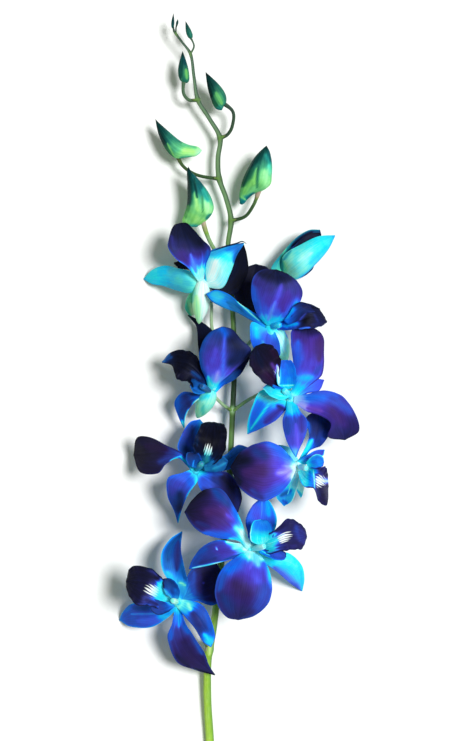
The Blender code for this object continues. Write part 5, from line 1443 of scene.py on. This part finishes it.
def add_chin(form, number, middle, bloom):
    """The spur behind a bloom, with three soft ribs."""
    tip = at(bloom.chin_tip)

    def radius(t):
        return bloom.chin_radius * np.maximum(arch(t**FULLEST), 0) ** CHIN_BLUNTNESS

    def ribbed(t, angle, out):
        return out * (CHIN_RIB * np.cos(angle * 3 + number) * arch(t))[..., None]

    add_rod(form, "chin", [middle - unit(tip - middle) * CHIN_ROOT, tip], radius, bloom.chin_paint, ribbed)


def build_bloom(number, bloom, looks):
    name, middle = bloom.name, at(bloom.middle)
    seed = number * SEED_STEP
    sepals = Form()
    add_chin(sepals, number, middle, bloom)
    top = middle + UP * HUB_RADIUS * HUB_TOP + unit(at(bloom.chin_tip) - middle) * HUB_LEAN
    add_hub(sepals, middle, top, HUB_FOOT_COLOUR, bloom.hub_colour)
    for index, organ in enumerate(bloom.blades):
        first = at(organ.midrib[0])
        if organ.kind == "sepal":
            add_blade(sepals, organ, anchored(middle, first, SEPAL_REACH), seed + index)
            continue
        front = 1 if organ.midrib[0][2] > bloom.middle[2] else -1
        petal = Form()
        add_blade(petal, organ, anchored(middle, first, PETAL_REACH, front * PETAL_LIFT), seed + index)
        petal.piece(f"{name}_{organ.part}_blade", looks["petal"], "petal", f"{name}_{organ.part}")
    if bloom.rolled_edge:
        edge = [at(point) for point in bloom.rolled_edge]
        add_rod(sepals, "roll", edge, rolled_radius, dict(knots=ROLL_KNOTS))
    sepals.piece(name + "_sepal_blades", looks["sepal"], "sepal", name + "_sepals")

    lip = Form()
    base = anchored(middle, at(bloom.lip.midrib[0]), LIP_REACH, -LIP_DROP)
    add_blade(lip, bloom.lip, base, seed + LIP_SEED)
    for index, lobe in enumerate(bloom.lobes):
        add_blade(lip, lobe, at(lobe.foot), seed + LOBE_SEED + index)
    lip.piece(name + "_lip_blade", looks["lip"], "lip", name + "_lip")
    build_column(bloom, middle, looks)


def rolled_radius(t):
    return ROLL_RADIUS * np.clip(arch(t**FULLEST), THINNEST_ROLL, 1) ** 0.5


def shaded_knots(colour, shades):
    tone, hue = colour
    return [(share, tone * times + darker, hue + violet) for share, times, darker, violet in shades]


def build_column(bloom, middle, looks):
    """The column: a stout hooded rod on a foot, hollow below its tip, with the anther cap on the end."""
    form = Form()
    tip = at(bloom.column) + UP * bloom.column_lift
    foot = anchored(middle, at(bloom.column), COLUMN_REACH, bloom.column_lift * 0.5)
    ahead = unit(tip - foot)
    bend = foot + (tip - foot) * 0.5 + UP * COLUMN_BEND

    def stout(t):
        round_ends = np.clip(arch(np.clip(t * 0.86 + 0.08, 0, 1)), 0, 1) ** COLUMN_BLUNTNESS
        return COLUMN_RADIUS * round_ends * (1 - COLUMN_WIDENING + COLUMN_WIDENING * t)

    def hooded(t, angle, out):
        below = np.clip(-np.sin(angle), 0, 1) ** 2
        hollow = -COLUMN_HOLLOW * below * np.clip(t * 2 - 0.5, 0, 1)
        return out * (hollow + COLUMN_WING * np.abs(np.cos(angle)) * t)[..., None]

    def notched(t, angle, out):
        cleft = bump(np.sin(angle * 0.5 - math.pi / 4), CLEFT_WIDTH)
        return out * (-CLEFT_DEPTH * cleft * arch(t))[..., None]

    paint = dict(knots=shaded_knots(bloom.column_colour, COLUMN_SHADES))
    add_rod(form, "column", [foot, bend, tip], stout, paint, hooded)
    cap = [tip + ahead * past - UP * below for past, below in (CAP_START, CAP_END)]
    cap_paint = dict(knots=shaded_knots(bloom.column_colour, CAP_SHADES))
    add_rod(form, "cap", cap, ball(CAP_RADIUS), cap_paint, notched)
    form.piece(bloom.name + "_column_cap", looks["column"], "column", bloom.name + "_column")


def build_opening(looks):
    """The opening bloom: blades that still stand together round their hub."""
    middle = at(OPENING.middle)
    form = Form()
    add_hub(form, middle, middle + UP * HUB_RADIUS, OPENING_FOOT_COLOUR, OPENING_HUB_COLOUR)
    for index, organ in enumerate(OPENING.blades):
        add_blade(form, organ, anchored(middle, at(organ.midrib[0]), SEPAL_REACH), OPENING_SEED + index)
    form.piece("opening_bloom_blades", looks["sepal"], "sepal", "opening_bloom")


# Building the buds: three sepals whose edges meet in seams, drawn out to a point, with the chin

SEAM_TONE = -0.10
# A bud is fullest before its middle and a little blunt: the powers of t and of its radius that do this
BUD_FULLEST, BUD_BLUNTNESS = 0.62, 0.95
# Where round the bud the seams run, how wide and, as a share of its radius, how deep they are
LARGE_SEAMS, LARGE_SEAM_WIDTH, LARGE_SEAM_DEPTH = (1.74, 3.83, 5.93), 0.05, 0.09
SMALL_SEAMS, SMALL_SEAM_WIDTH, SMALL_SEAM_DEPTH = (0.9, 3.0, 5.1), 0.055, 0.075
SMALL_SEAM_SHADE = 0.06
SEAM_TWIST = 0.35  # how far a small bud's seams turn from base to tip, in radians
LARGE_RIB, LARGE_RIBS, SMALL_CUSHION, SMALL_CUSHIONS = 0.14, 7, 0.03, 3
TINY_BUD = 1.5  # the radius below which a bud needs few cells
# A large bud's rings crowd together near its ends, and how far the blunt end of its chin is filled out
END_CROWDING, MOST_BLUNT = 0.4, 2.2
# A small bud's chin: where along the bud it stands out, and over how much of it
CHIN_PLACE, CHIN_SPREAD = 0.10, 0.20
# How much of the bud's own radius counts toward the reach of its chin, and the least that is left to add
CHIN_OVERLAP, CHIN_LEAST = 0.6, 0.15


def seams(angle, places, width):
    """How near these angles are to a seam: 1 on it, and 0 away from it."""
    return sum(bump(np.sin((angle - place) / 2), width) for place in places)


def bud_profile(t):
    return np.maximum(arch(np.maximum(t, 0) ** BUD_FULLEST), 0) ** BUD_BLUNTNESS


def build_large_bud(number, bud, form):
    """A bud that is drawn from its outline: rings that span its two edges, at the height between them."""
    stations = np.array([[*left, height, *right, height, half] for left, right, height, half in bud.outline])
    places = np.column_stack([at(stations[:, :3]), at(stations[:, 3:6]), stations[:, 6]])
    ends = run_out(places)
    last = len(places) - 1
    sides, rings = ROUND_GRIDS["large_bud"]
    t = np.linspace(0, 1, rings + 1)
    t = t - END_CROWDING * np.sin(math.tau * t) / math.tau
    i = np.minimum((t * last).astype(int), last - 1)
    u = (t * last - i)[:, None]
    a, b = ends[i + 1], ends[i + 2]
    line = eased(a, (b - ends[i]) / 2, b, (ends[i + 3] - a) / 2, u)
    left, right, thick = line[:, :3], line[:, 3:6], line[:, 6]
    first = u[:, 0] + i
    blunt = np.where(first < 1, np.sqrt(np.clip(first * (2 - first), 0, 1)) / np.maximum(first, 0.05), 1.0)
    blunt = np.minimum(blunt, MOST_BLUNT)
    centre, half = (left + right) / 2, (left - right) / 2 * blunt[:, None]
    t, angle = np.meshgrid(t, np.arange(sides) * math.tau / sides, indexing="ij")
    cosine, sine = np.cos(angle)[..., None], np.sin(angle)[..., None]
    out = unit(half)[:, None] * cosine + UP * sine
    ribs = np.cos(LARGE_RIBS * angle + number) * arch(t) ** 2
    relief = -LARGE_SEAM_DEPTH * bud.radius * seams(angle, LARGE_SEAMS, LARGE_SEAM_WIDTH) + LARGE_RIB * ribs
    relief = relief * np.clip(arch(t), 0, 1) ** 0.5
    spots = centre[:, None] + half[:, None] * cosine + UP * (thick * blunt)[:, None, None] * sine
    spots = spots + out * relief[..., None]

    def seamed(t, angle):
        return SEAM_TONE * seams(angle, LARGE_SEAMS, LARGE_SEAM_WIDTH) * arch(t)

    add_skin(form, spots, t, angle, dict(knots=bud.knots, marks=bud.marks), seamed)


def build_small_bud(bud, form):
    """A bud that is round about its middle line, with its chin drawn out of one side near the base."""
    tip, base = at(bud.tip), at(bud.base)
    reach = at(bud.chin) - base if bud.chin else np.zeros(3)
    long = max(float(np.linalg.norm(reach)), 1)

    def shaped(t, angle, out):
        grooves = seams(angle - SEAM_TWIST * t, SMALL_SEAMS, SMALL_SEAM_WIDTH) * np.clip(arch(t), 0, 1) ** 0.5
        cushion = np.cos(SMALL_CUSHIONS * (angle - SEAM_TWIST * t) + 1) * arch(t)
        moved = bud.radius * (SMALL_CUSHION * cushion - SMALL_SEAM_DEPTH * grooves)[..., None] * out
        towards = np.clip(out @ unit(reach), 0, 1) ** 2
        spare = np.maximum(1 - bud.radius * bud_profile(t) * CHIN_OVERLAP / long, CHIN_LEAST)
        return moved + reach * (towards * bump(t - CHIN_PLACE, CHIN_SPREAD) * spare)[..., None]

    def seamed(t, angle):
        return SEAM_TONE * seams(angle - SEAM_TWIST * t, SMALL_SEAMS, SMALL_SEAM_SHADE)

    grid = "tiny_bud" if bud.radius < TINY_BUD else "bud"
    paint = dict(knots=bud.knots, marks=bud.marks)
    line = [base, (base + tip) / 2, tip]
    add_rod(form, grid, line, lambda t: bud.radius * bud_profile(t), paint, shaped, seamed)


def build_bud(number, bud, looks):
    form = Form()
    if bud.outline:
        build_large_bud(number, bud, form)
    else:
        build_small_bud(bud, form)
    form.piece(bud.name + "_sepals", looks["bud"], "bud", bud.name)


# Building the stem

STEM_SAMPLES = 2001  # places along the stem among which each joint's is looked up
STEM_RIDGE, STEM_RIDGES, RIDGE_TWIST = 0.05, 7, 5
# Painted shade on the stem's sides, and painted light that lightens one side and darkens the other
STEM_SIDE_SHADE, STEM_PAINTED_LIGHT = 0.15, 0.15
# A joint is this much thicker than the stem, over this length, and its colour is a mark of this width
JOINT_SWELL, JOINT_REACH = 0.22, 2.2
JOINT_MARK = (3.0, 0.48, 0.1)
# Buds' stalks are thinner: this share of the bud's radius, and at least this thick
BUD_STALK_SHARE, THINNEST_STALK = 0.32, 0.42
BRACT_STALK = 0.6  # thinner stalks have no bract
STALK_ENTRY = 0.12  # how far into a bud its stalk runs, as a share of the bud's length
# A bract: how far behind its joint it starts, how high it stands there and at its tip, and how it is cupped
BRACT_WIDTH, BRACT_LENGTH, BRACT_FOOT = 2.6, 4.6, 1.4
BRACT_LIFT, BRACT_TIP_LIFT, BRACT_ARCH, BRACT_RISE = 0.9, 0.5, 0.5, -0.8
BRACT_KNOTS = [(0, 0.5, 0.3), (0.6, 0.4, 0.1), (1, 0.5, -0.5)]


def stem_point(row):
    """Where the stem passes this row of the picture."""
    for (above, _), (below, _) in zip(RACHIS[1:], RACHIS):
        if above[1] <= row <= below[1]:
            u = (below[1] - row) / (below[1] - above[1])
            return at([b + (a - b) * u for a, b in zip(above, below)])
    raise ValueError(f"the stem doesn't reach {row}")


def stalks():
    """Each stalk's goal, the points on its way, its joint, its thickness, its swell and its knots."""
    for bloom in (*BLOOMS, OPENING):
        yield at(bloom.middle), bloom.stalk, bloom.joint, PEDICEL_RADIUS, STALK_SWELL, STALK_KNOTS
    for bud in BUDS:
        if bud.joint:
            goal = at([b + (t - b) * STALK_ENTRY for b, t in zip(bud.base, bud.tip)])
            thick = min(PEDICEL_RADIUS, max(bud.radius * BUD_STALK_SHARE, THINNEST_STALK))
            yield goal, bud.stalk, bud.joint, thick, bud.stalk_swell, bud.stalk_knots


def build_stem(looks):
    """The stem with its swollen joints, the bract at each, and the stalks of the blooms and buds."""
    form = Form()
    line = [at(point) for point, _ in RACHIS]
    marks = np.concatenate([[0], np.cumsum(np.linalg.norm(np.diff(np.array(line), axis=0), axis=1))])
    whole = marks[-1]
    radii = [(mark / whole, STEM_RADIUS * share) for mark, (_, share) in zip(marks, RACHIS)]
    joints = [stem_point(row) for row in sorted({joint for _, _, joint, *_ in stalks()})]
    fine = np.linspace(0, 1, STEM_SAMPLES)
    spots = curve_through(line)(fine)
    swells = [fine[np.argmin(np.linalg.norm(spots - joint, axis=1))] for joint in joints]

    def thickness(t):
        r = between(radii, t)
        for share in swells:
            r = r * (1 + JOINT_SWELL * bump((t - share) * whole, JOINT_REACH))
        return r

    def ridged(t, angle, out):
        return out * (STEM_RIDGE * np.cos(angle * STEM_RIDGES + RIDGE_TWIST * t))[..., None]

    # Painted shade on the stem's sides, and painted light, lighter on one side than the other
    def shaded(t, angle):
        return STEM_SIDE_SHADE * np.abs(np.cos(angle)) ** 3 - STEM_PAINTED_LIGHT * np.cos(angle)

    joint_marks = [(x, y, x, y, *JOINT_MARK) for x, y, _ in (seen(joint) for joint in joints)]
    paint = dict(knots=STEM_KNOTS, marks=joint_marks + STEM_MARKS)
    add_rod(form, "stem", line, thickness, paint, ridged, shaded, level=0.0)
    for index, (goal, way, joint, thick, swell, knots) in enumerate(stalks()):
        start = stem_point(joint)
        points = [start, *[at(point) for point in way[::-1]], goal]
        paint = dict(knots=knots, marks=joint_marks)
        add_rod(form, "stalk", points, lambda t: thick * between(swell, t), paint)
        if thick > BRACT_STALK:
            add_bract(form, start, at(way[-1]), index)
    form.piece("flower_stem_fine", looks["stem"], "stem", "flower_stem")


def add_bract(form, start, towards, seed):
    """The short dry scale under a stalk's foot, which clasps the joint."""
    along = unit(towards - start)
    foot = start - along * BRACT_FOOT + UP * BRACT_LIFT
    base, tip = seen(foot), seen(foot + along * BRACT_LENGTH + UP * BRACT_TIP_LIFT)
    side = unit(np.array([along[1], along[0]])) * BRACT_WIDTH / 2
    middle = (base + tip) / 2 + UP * BRACT_ARCH
    left, right = [middle[:2] - side], [middle[:2] + side]
    paint = dict(knots=BRACT_KNOTS)
    bract = Organ("scale", "bract", [middle, tip], left, right, None, BRACT_RISE, 0, 0, paint)
    add_blade(form, bract, foot, seed)


# Materials. Each ramp is tone's colours for one hue, from white to nearly black.

WHITE_TO_BLUE = [
    (0, (0.8, 0.97, 0.97)), (0.07, (0.3, 0.94, 0.97)), (0.14, (0.012, 0.82, 0.95)),
    (0.24, (0.002, 0.54, 0.95)), (0.37, (0.004, 0.2, 0.93)), (0.45, (0.006, 0.115, 0.76)),
    (0.52, (0.006, 0.085, 0.5)), (0.62, (0.005, 0.05, 0.28)), (0.75, (0.005, 0.022, 0.115)),
    (0.88, (0.003, 0.008, 0.034)), (1, (0.0015, 0.002, 0.007)),
]
WHITE_TO_VIOLET = [
    (0, (0.9, 0.9, 0.98)), (0.12, (0.48, 0.46, 0.98)), (0.25, (0.2, 0.16, 0.95)),
    (0.38, (0.095, 0.07, 0.78)), (0.5, (0.06, 0.034, 0.43)), (0.62, (0.036, 0.022, 0.21)),
    (0.75, (0.019, 0.013, 0.095)), (0.88, (0.009, 0.008, 0.03)), (1, (0.003, 0.003, 0.008)),
]
WHITE_TO_PLUM = [
    (0, (0.96, 0.86, 0.96)), (0.2, (0.55, 0.25, 0.86)), (0.35, (0.24, 0.09, 0.58)),
    (0.5, (0.11, 0.034, 0.29)), (0.65, (0.06, 0.017, 0.11)), (0.8, (0.022, 0.007, 0.036)),
    (1, (0.004, 0.002, 0.006)),
]
WHITE_TO_GREEN = [
    (0, (0.93, 1, 0.86)), (0.12, (0.46, 0.94, 0.46)), (0.25, (0.12, 0.72, 0.4)),
    (0.38, (0.035, 0.45, 0.36)), (0.5, (0.01, 0.26, 0.32)), (0.62, (0.004, 0.12, 0.16)),
    (0.75, (0.003, 0.05, 0.07)), (0.88, (0.002, 0.016, 0.022)), (1, (0.001, 0.003, 0.004)),
]
BUD_LIME = [
    (0, (0.85, 0.97, 0.64)), (0.15, (0.45, 0.92, 0.27)), (0.3, (0.21, 0.63, 0.15)),
    (0.45, (0.08, 0.34, 0.09)), (0.6, (0.026, 0.16, 0.06)), (0.75, (0.008, 0.075, 0.05)),
    (0.88, (0.002, 0.026, 0.024)), (1, (0.001, 0.005, 0.006)),
]
BUD_TEAL = [
    (0, (0.76, 1, 0.96)), (0.15, (0.3, 0.92, 0.74)), (0.3, (0.045, 0.66, 0.53)), (0.45, (0.01, 0.33, 0.31)),
    (0.6, (0.003, 0.14, 0.17)), (0.75, (0.0015, 0.055, 0.075)), (0.88, (0.001, 0.02, 0.027)),
    (1, (0.001, 0.004, 0.005)),
]
STEM_LIME = [
    (0, (0.48, 0.74, 0.09)), (0.2, (0.24, 0.46, 0.035)), (0.4, (0.13, 0.28, 0.05)),
    (0.6, (0.06, 0.125, 0.032)), (0.8, (0.018, 0.047, 0.012)), (1, (0.004, 0.011, 0.004)),
]
STEM_GREY = [
    (0, (0.75, 0.84, 0.66)), (0.2, (0.44, 0.58, 0.40)), (0.4, (0.21, 0.34, 0.21)), (0.6, (0.08, 0.15, 0.10)),
    (0.8, (0.026, 0.055, 0.043)), (1, (0.006, 0.013, 0.012)),
]
DRY_BROWN = [
    (0, (0.8, 0.7, 0.62)), (0.25, (0.52, 0.38, 0.31)), (0.5, (0.24, 0.13, 0.09)),
    (0.75, (0.08, 0.035, 0.022)), (1, (0.012, 0.006, 0.004)),
]
FAN_ROOT, FAN_WHITE = (0.06, 0.79, 0.87), (0.84, 0.91, 0.92)
FAN_FINGERS, FAN_WARP, FAN_SHARPNESS, FAN_GAP = 7.0, 0.14, 5.0, -0.75
FAN_WHITENING = (6.0, -2.1)  # how fast the fan whitens along the lip, and its start
# How strongly streaks and grain show in a tissue's tone beside its blotches, and how blotches sway its hue
STREAK_SHARE, GRAIN_SHARE, HUE_SWAY = 1.5, 0.5, 0.6
SKIN_GRAIN_SHARE, SKIN_LINE_TONE, SKIN_HUE_SWAY = 0.4, -0.035, 0.5
# Blotches make a surface rougher by up to this, over a roughness lower by the second number
ROUGH_SWAY, ROUGH_DROP = 0.25, 0.12
VEIN_WARP, VEIN_SHARPNESS = 0.16, 2.5
RIDGE_SHARPNESS = 3.0
BUMP_STRENGTH = 0.8
SKIN_BUMP_DEPTH = 0.0001
# How high veins, grain, streaks and the lip's fan stand in a tissue's relief
VEIN_RELIEF, GRAIN_RELIEF, STREAK_RELIEF, FAN_RELIEF = -0.8, 0.5, 0.8, 1.2


class Nodes:
    """A material's node tree, built up from the shader backwards."""

    def __init__(self, name):
        self.material = bpy.data.materials.new(name)
        self.material.use_nodes = True
        self.tree = self.material.node_tree
        self.shader = self.tree.nodes["Principled BSDF"]

    def new(self, kind, **settings):
        node = self.tree.nodes.new(kind)
        for key, value in settings.items():
            setattr(node, key, value)
        return node

    def give(self, socket, given):
        """Sets a socket to a number or a colour, or links it."""
        if isinstance(given, (int, float)):
            socket.default_value = given
        elif isinstance(given, tuple):
            socket.default_value = (*given, 1)
        else:
            self.tree.links.new(given, socket)

    def value(self, name):
        return self.new("ShaderNodeAttribute", attribute_name=name).outputs["Fac"]

    def math(self, operation, a, b=0.0, c=0.0, clamp=False):
        node = self.new("ShaderNodeMath", operation=operation, use_clamp=clamp)
        for socket, given in zip(node.inputs, (a, b, c)):
            self.give(socket, given)
        return node.outputs[0]

    def sway(self, source, amount, value, middle=0.5, clamp=False):
        """The value, moved both ways by how far the source is from its middle."""
        return self.math("MULTIPLY_ADD", self.math("SUBTRACT", source, middle), amount, value, clamp=clamp)

    def waves(self, across, count):
        """0 where across times count passes a whole number, and up to 1 between."""
        return self.math("ABSOLUTE", self.math("SINE", self.math("MULTIPLY", across, count * math.pi)))

    def ramp(self, factor, stops):
        node = self.new("ShaderNodeValToRGB")
        elements = node.color_ramp.elements
        while len(elements) < len(stops):
            elements.new(0.5)
        for element, (place, colour) in zip(elements, stops):
            element.position = place
            element.color = (*colour, 1)
        self.give(node.inputs["Fac"], factor)
        return node.outputs["Color"]

    def mix(self, factor, a, b):
        node = self.new("ShaderNodeMix", data_type="RGBA")
        for socket, given in ((node.inputs[0], factor), (node.inputs[6], a), (node.inputs[7], b)):
            self.give(socket, given)
        return node.outputs[2]

    def noise(self, place, scale, detail=3.0, rough=0.5):
        node = self.new("ShaderNodeTexNoise")
        for key, given in (("Scale", scale), ("Detail", detail), ("Roughness", rough), ("Vector", place)):
            self.give(node.inputs[key], given)
        return node.outputs["Fac"]

    def speckle(self, scale, detail=3.0, rough=0.55, stretch=None):
        """Noise over the whole spray, drawn out where stretch says so."""
        place = self.new("ShaderNodeTexCoord").outputs["Object"]
        if stretch:
            shift = self.new("ShaderNodeMapping")
            shift.inputs["Scale"].default_value = stretch
            self.give(shift.inputs["Vector"], place)
            place = shift.outputs["Vector"]
        return self.noise(place, scale, detail, rough)

    def streaks(self, count, length):
        """Noise drawn out along the organ, from its own across and along."""
        place = self.new("ShaderNodeCombineXYZ")
        self.give(place.inputs[0], self.math("MULTIPLY", self.value("across"), count))
        self.give(place.inputs[1], self.math("MULTIPLY", self.value("along"), length))
        return self.noise(place.outputs[0], 1.0)

    def veins(self, count):
        """Thin lines that run from base to tip, a little unevenly spaced."""
        warp = self.math("MULTIPLY_ADD", self.streaks(4.0, 1.0), VEIN_WARP, self.value("across"))
        return self.math("POWER", self.math("SUBTRACT", 1.0, self.waves(warp, count)), VEIN_SHARPNESS)

    def surface(self, colour, height, distance, roughness, gloss):
        bumps = self.new("ShaderNodeBump")
        self.give(bumps.inputs["Distance"], distance)
        self.give(bumps.inputs["Strength"], BUMP_STRENGTH)
        self.give(bumps.inputs["Height"], height)
        self.give(self.shader.inputs["Normal"], bumps.outputs["Normal"])
        self.give(self.shader.inputs["Base Color"], colour)
        self.give(self.shader.inputs["Roughness"], roughness)
        self.give(self.shader.inputs["Specular IOR Level"], gloss)
        return self.material


def tissue(name, veins, vein_tone, mottle, rough, bump_depth, fan=False, gloss=0.06):
    """Dyed petal tissue: its tone and hue, with veins, streaks along the organ, blotches and fine grain."""
    n = Nodes(name)
    grain = n.speckle(scale=2600.0, detail=2.0)
    blotch = n.speckle(scale=130.0, detail=4.0, rough=0.6)
    streak = n.streaks(count=7.0, length=1.6)
    lines = n.math("MULTIPLY", n.veins(veins), n.streaks(count=3.0, length=5.0))
    tone = n.sway(blotch, mottle, n.value("tone"))
    tone = n.sway(streak, mottle * STREAK_SHARE, tone)
    tone = n.sway(grain, mottle * GRAIN_SHARE, tone)
    tone = n.math("MULTIPLY_ADD", lines, vein_tone, tone, clamp=True)
    hue = n.sway(blotch, HUE_SWAY, n.value("hue"))
    violet = n.math("MULTIPLY", hue, 1.0, clamp=True)
    plum = n.math("SUBTRACT", hue, 1.0, clamp=True)
    green = n.math("MULTIPLY", hue, -1.0, clamp=True)
    colour = n.mix(violet, n.ramp(tone, WHITE_TO_BLUE), n.ramp(tone, WHITE_TO_VIOLET))
    colour = n.mix(plum, colour, n.ramp(tone, WHITE_TO_PLUM))
    colour = n.mix(green, colour, n.ramp(tone, WHITE_TO_GREEN))
    height = n.math("MULTIPLY_ADD", lines, VEIN_RELIEF, n.math("MULTIPLY", grain, GRAIN_RELIEF))
    height = n.math("MULTIPLY_ADD", streak, STREAK_RELIEF, height)
    if fan:
        warp = n.math("MULTIPLY_ADD", n.streaks(count=9.0, length=2.0), FAN_WARP, n.value("across"))
        gaps = n.math("MULTIPLY_ADD", n.waves(warp, FAN_FINGERS), FAN_GAP, 1.0)
        weight = n.math("MULTIPLY", n.math("SUBTRACT", n.value("fan"), gaps), FAN_SHARPNESS, clamp=True)
        far = n.math("MULTIPLY_ADD", n.value("along"), *FAN_WHITENING, clamp=True)
        colour = n.mix(weight, colour, n.mix(far, FAN_ROOT, FAN_WHITE))
        height = n.math("MULTIPLY_ADD", weight, FAN_RELIEF, height)
    roughness = n.math("MULTIPLY_ADD", blotch, ROUGH_SWAY, rough - ROUGH_DROP)
    return n.surface(colour, height, bump_depth, roughness, gloss)


def skin(name, first, second, third=None, *, stretch, ridges, mottle, rough, gloss):
    """Green tissue between two colours, mixed by hue, with long streaks. Below 0, hue mixes in the third."""
    n = Nodes(name)
    streak = n.speckle(scale=420.0, rough=0.6, stretch=stretch)
    blotch = n.speckle(scale=160.0)
    grain = n.speckle(scale=3000.0, detail=2.0)
    lines = n.math("POWER", n.waves(n.value("across"), ridges), RIDGE_SHARPNESS)
    tone = n.sway(streak, mottle, n.value("tone"))
    tone = n.sway(grain, mottle * SKIN_GRAIN_SHARE, tone)
    tone = n.sway(lines, SKIN_LINE_TONE, tone, middle=0.3, clamp=True)
    hue = n.sway(blotch, SKIN_HUE_SWAY, n.value("hue"))
    colour = n.mix(n.math("MULTIPLY", hue, 1.0, clamp=True), n.ramp(tone, first), n.ramp(tone, second))
    if third:
        colour = n.mix(n.math("MULTIPLY", hue, -1.0, clamp=True), colour, n.ramp(tone, third))
    height = n.math("MULTIPLY_ADD", lines, GRAIN_RELIEF, n.math("MULTIPLY", grain, GRAIN_RELIEF))
    roughness = n.math("MULTIPLY_ADD", blotch, ROUGH_SWAY, rough - ROUGH_DROP)
    return n.surface(colour, height, SKIN_BUMP_DEPTH, roughness, gloss)


# The camera, straight above, the table and the light

SENSOR_WIDTH = 36
NEAREST, FARTHEST = 0.05, 20
FLOOR_REACH, FLOOR_DROP = 9, 0.0003
PAPER_COLOUR, PAPER_ROUGHNESS = (0.93, 0.93, 0.93, 1), 0.9
SUN_WAY, SUN_STRENGTH, SUN_SPREAD = (-0.42, -0.12, -1.0), 3.3, 17
SKY_COLOUR, SKY_STRENGTH = (0.91, 1.0, 0.84, 1), 0.28


def build_camera():
    eye = bpy.data.objects.new("eye", bpy.data.cameras.new("eye"))
    eye.location = (-BOX_CENTRE[0] * MM, -BOX_CENTRE[1] * MM, EYE_HEIGHT * MM)
    eye.data.sensor_width = SENSOR_WIDTH
    eye.data.lens = SENSOR_WIDTH / (PICTURE_SIZE[1] * MM_PER_PIXEL / (EYE_HEIGHT - SCALE_HEIGHT))
    eye.data.clip_start, eye.data.clip_end = NEAREST, FARTHEST
    bpy.context.scene.collection.objects.link(eye)
    bpy.context.scene.camera = eye


def build_floor():
    r = FLOOR_REACH
    mesh = bpy.data.meshes.new("floor")
    mesh.from_pydata([(-r, -r, 0), (r, -r, 0), (r, r, 0), (-r, r, 0)], [], [(0, 1, 2, 3)])
    floor = bpy.data.objects.new("floor", mesh)
    floor.location.z = -FLOOR_DROP
    paper = bpy.data.materials.new("paper")
    paper.use_nodes = True
    shader = paper.node_tree.nodes["Principled BSDF"]
    shader.inputs["Base Color"].default_value = PAPER_COLOUR
    shader.inputs["Roughness"].default_value = PAPER_ROUGHNESS
    mesh.materials.append(paper)
    bpy.context.scene.collection.objects.link(floor)


def build_light():
    sun = bpy.data.objects.new("key", bpy.data.lights.new("key", "SUN"))
    sun.data.energy = SUN_STRENGTH
    sun.data.angle = math.radians(SUN_SPREAD)
    sun.location = (0, 0, 1)
    sun.rotation_mode = "QUATERNION"
    sun.rotation_quaternion = mathutils.Vector(SUN_WAY).to_track_quat("-Z", "Y")
    bpy.context.scene.collection.objects.link(sun)
    world = bpy.data.worlds.new("studio")
    world.use_nodes = True
    sky = world.node_tree.nodes["Background"]
    sky.inputs["Color"].default_value = SKY_COLOUR
    sky.inputs["Strength"].default_value = SKY_STRENGTH
    bpy.context.scene.world = world
    bpy.context.scene.view_settings.view_transform = "Standard"


def main():
    looks = {
        "petal": tissue("dyed_petal", veins=12.0, vein_tone=0.07, mottle=0.09, rough=0.5, bump_depth=0.00012),
        "sepal": tissue("dyed_sepal", veins=7.0, vein_tone=0.07, mottle=0.08, rough=0.46, bump_depth=0.00012),
        "lip": tissue(
            "dyed_lip", veins=11.0, vein_tone=0.08, mottle=0.12, rough=0.44, bump_depth=0.0002, fan=True
        ),
        "column": tissue(
            "waxy_column", veins=3.0, vein_tone=0.03, mottle=0.06, rough=0.32, bump_depth=0.00008, gloss=0.4
        ),
        "bud": skin(
            "bud_skin", BUD_LIME, BUD_TEAL, stretch=(1, 1, 1), ridges=9.0, mottle=0.1, rough=0.42, gloss=0.05
        ),
        "stem": skin(
            "stem_skin", STEM_LIME, STEM_GREY, DRY_BROWN,
            stretch=(6, 0.5, 6), ridges=7.0, mottle=0.24, rough=0.45, gloss=0.1,
        ),
    }
    for number, bloom in enumerate(BLOOMS):
        build_bloom(number, bloom, looks)
    build_opening(looks)
    for number, bud in enumerate(BUDS):
        build_bud(number, bud, looks)
    build_stem(looks)
    build_camera()
    build_floor()
    build_light()


main()
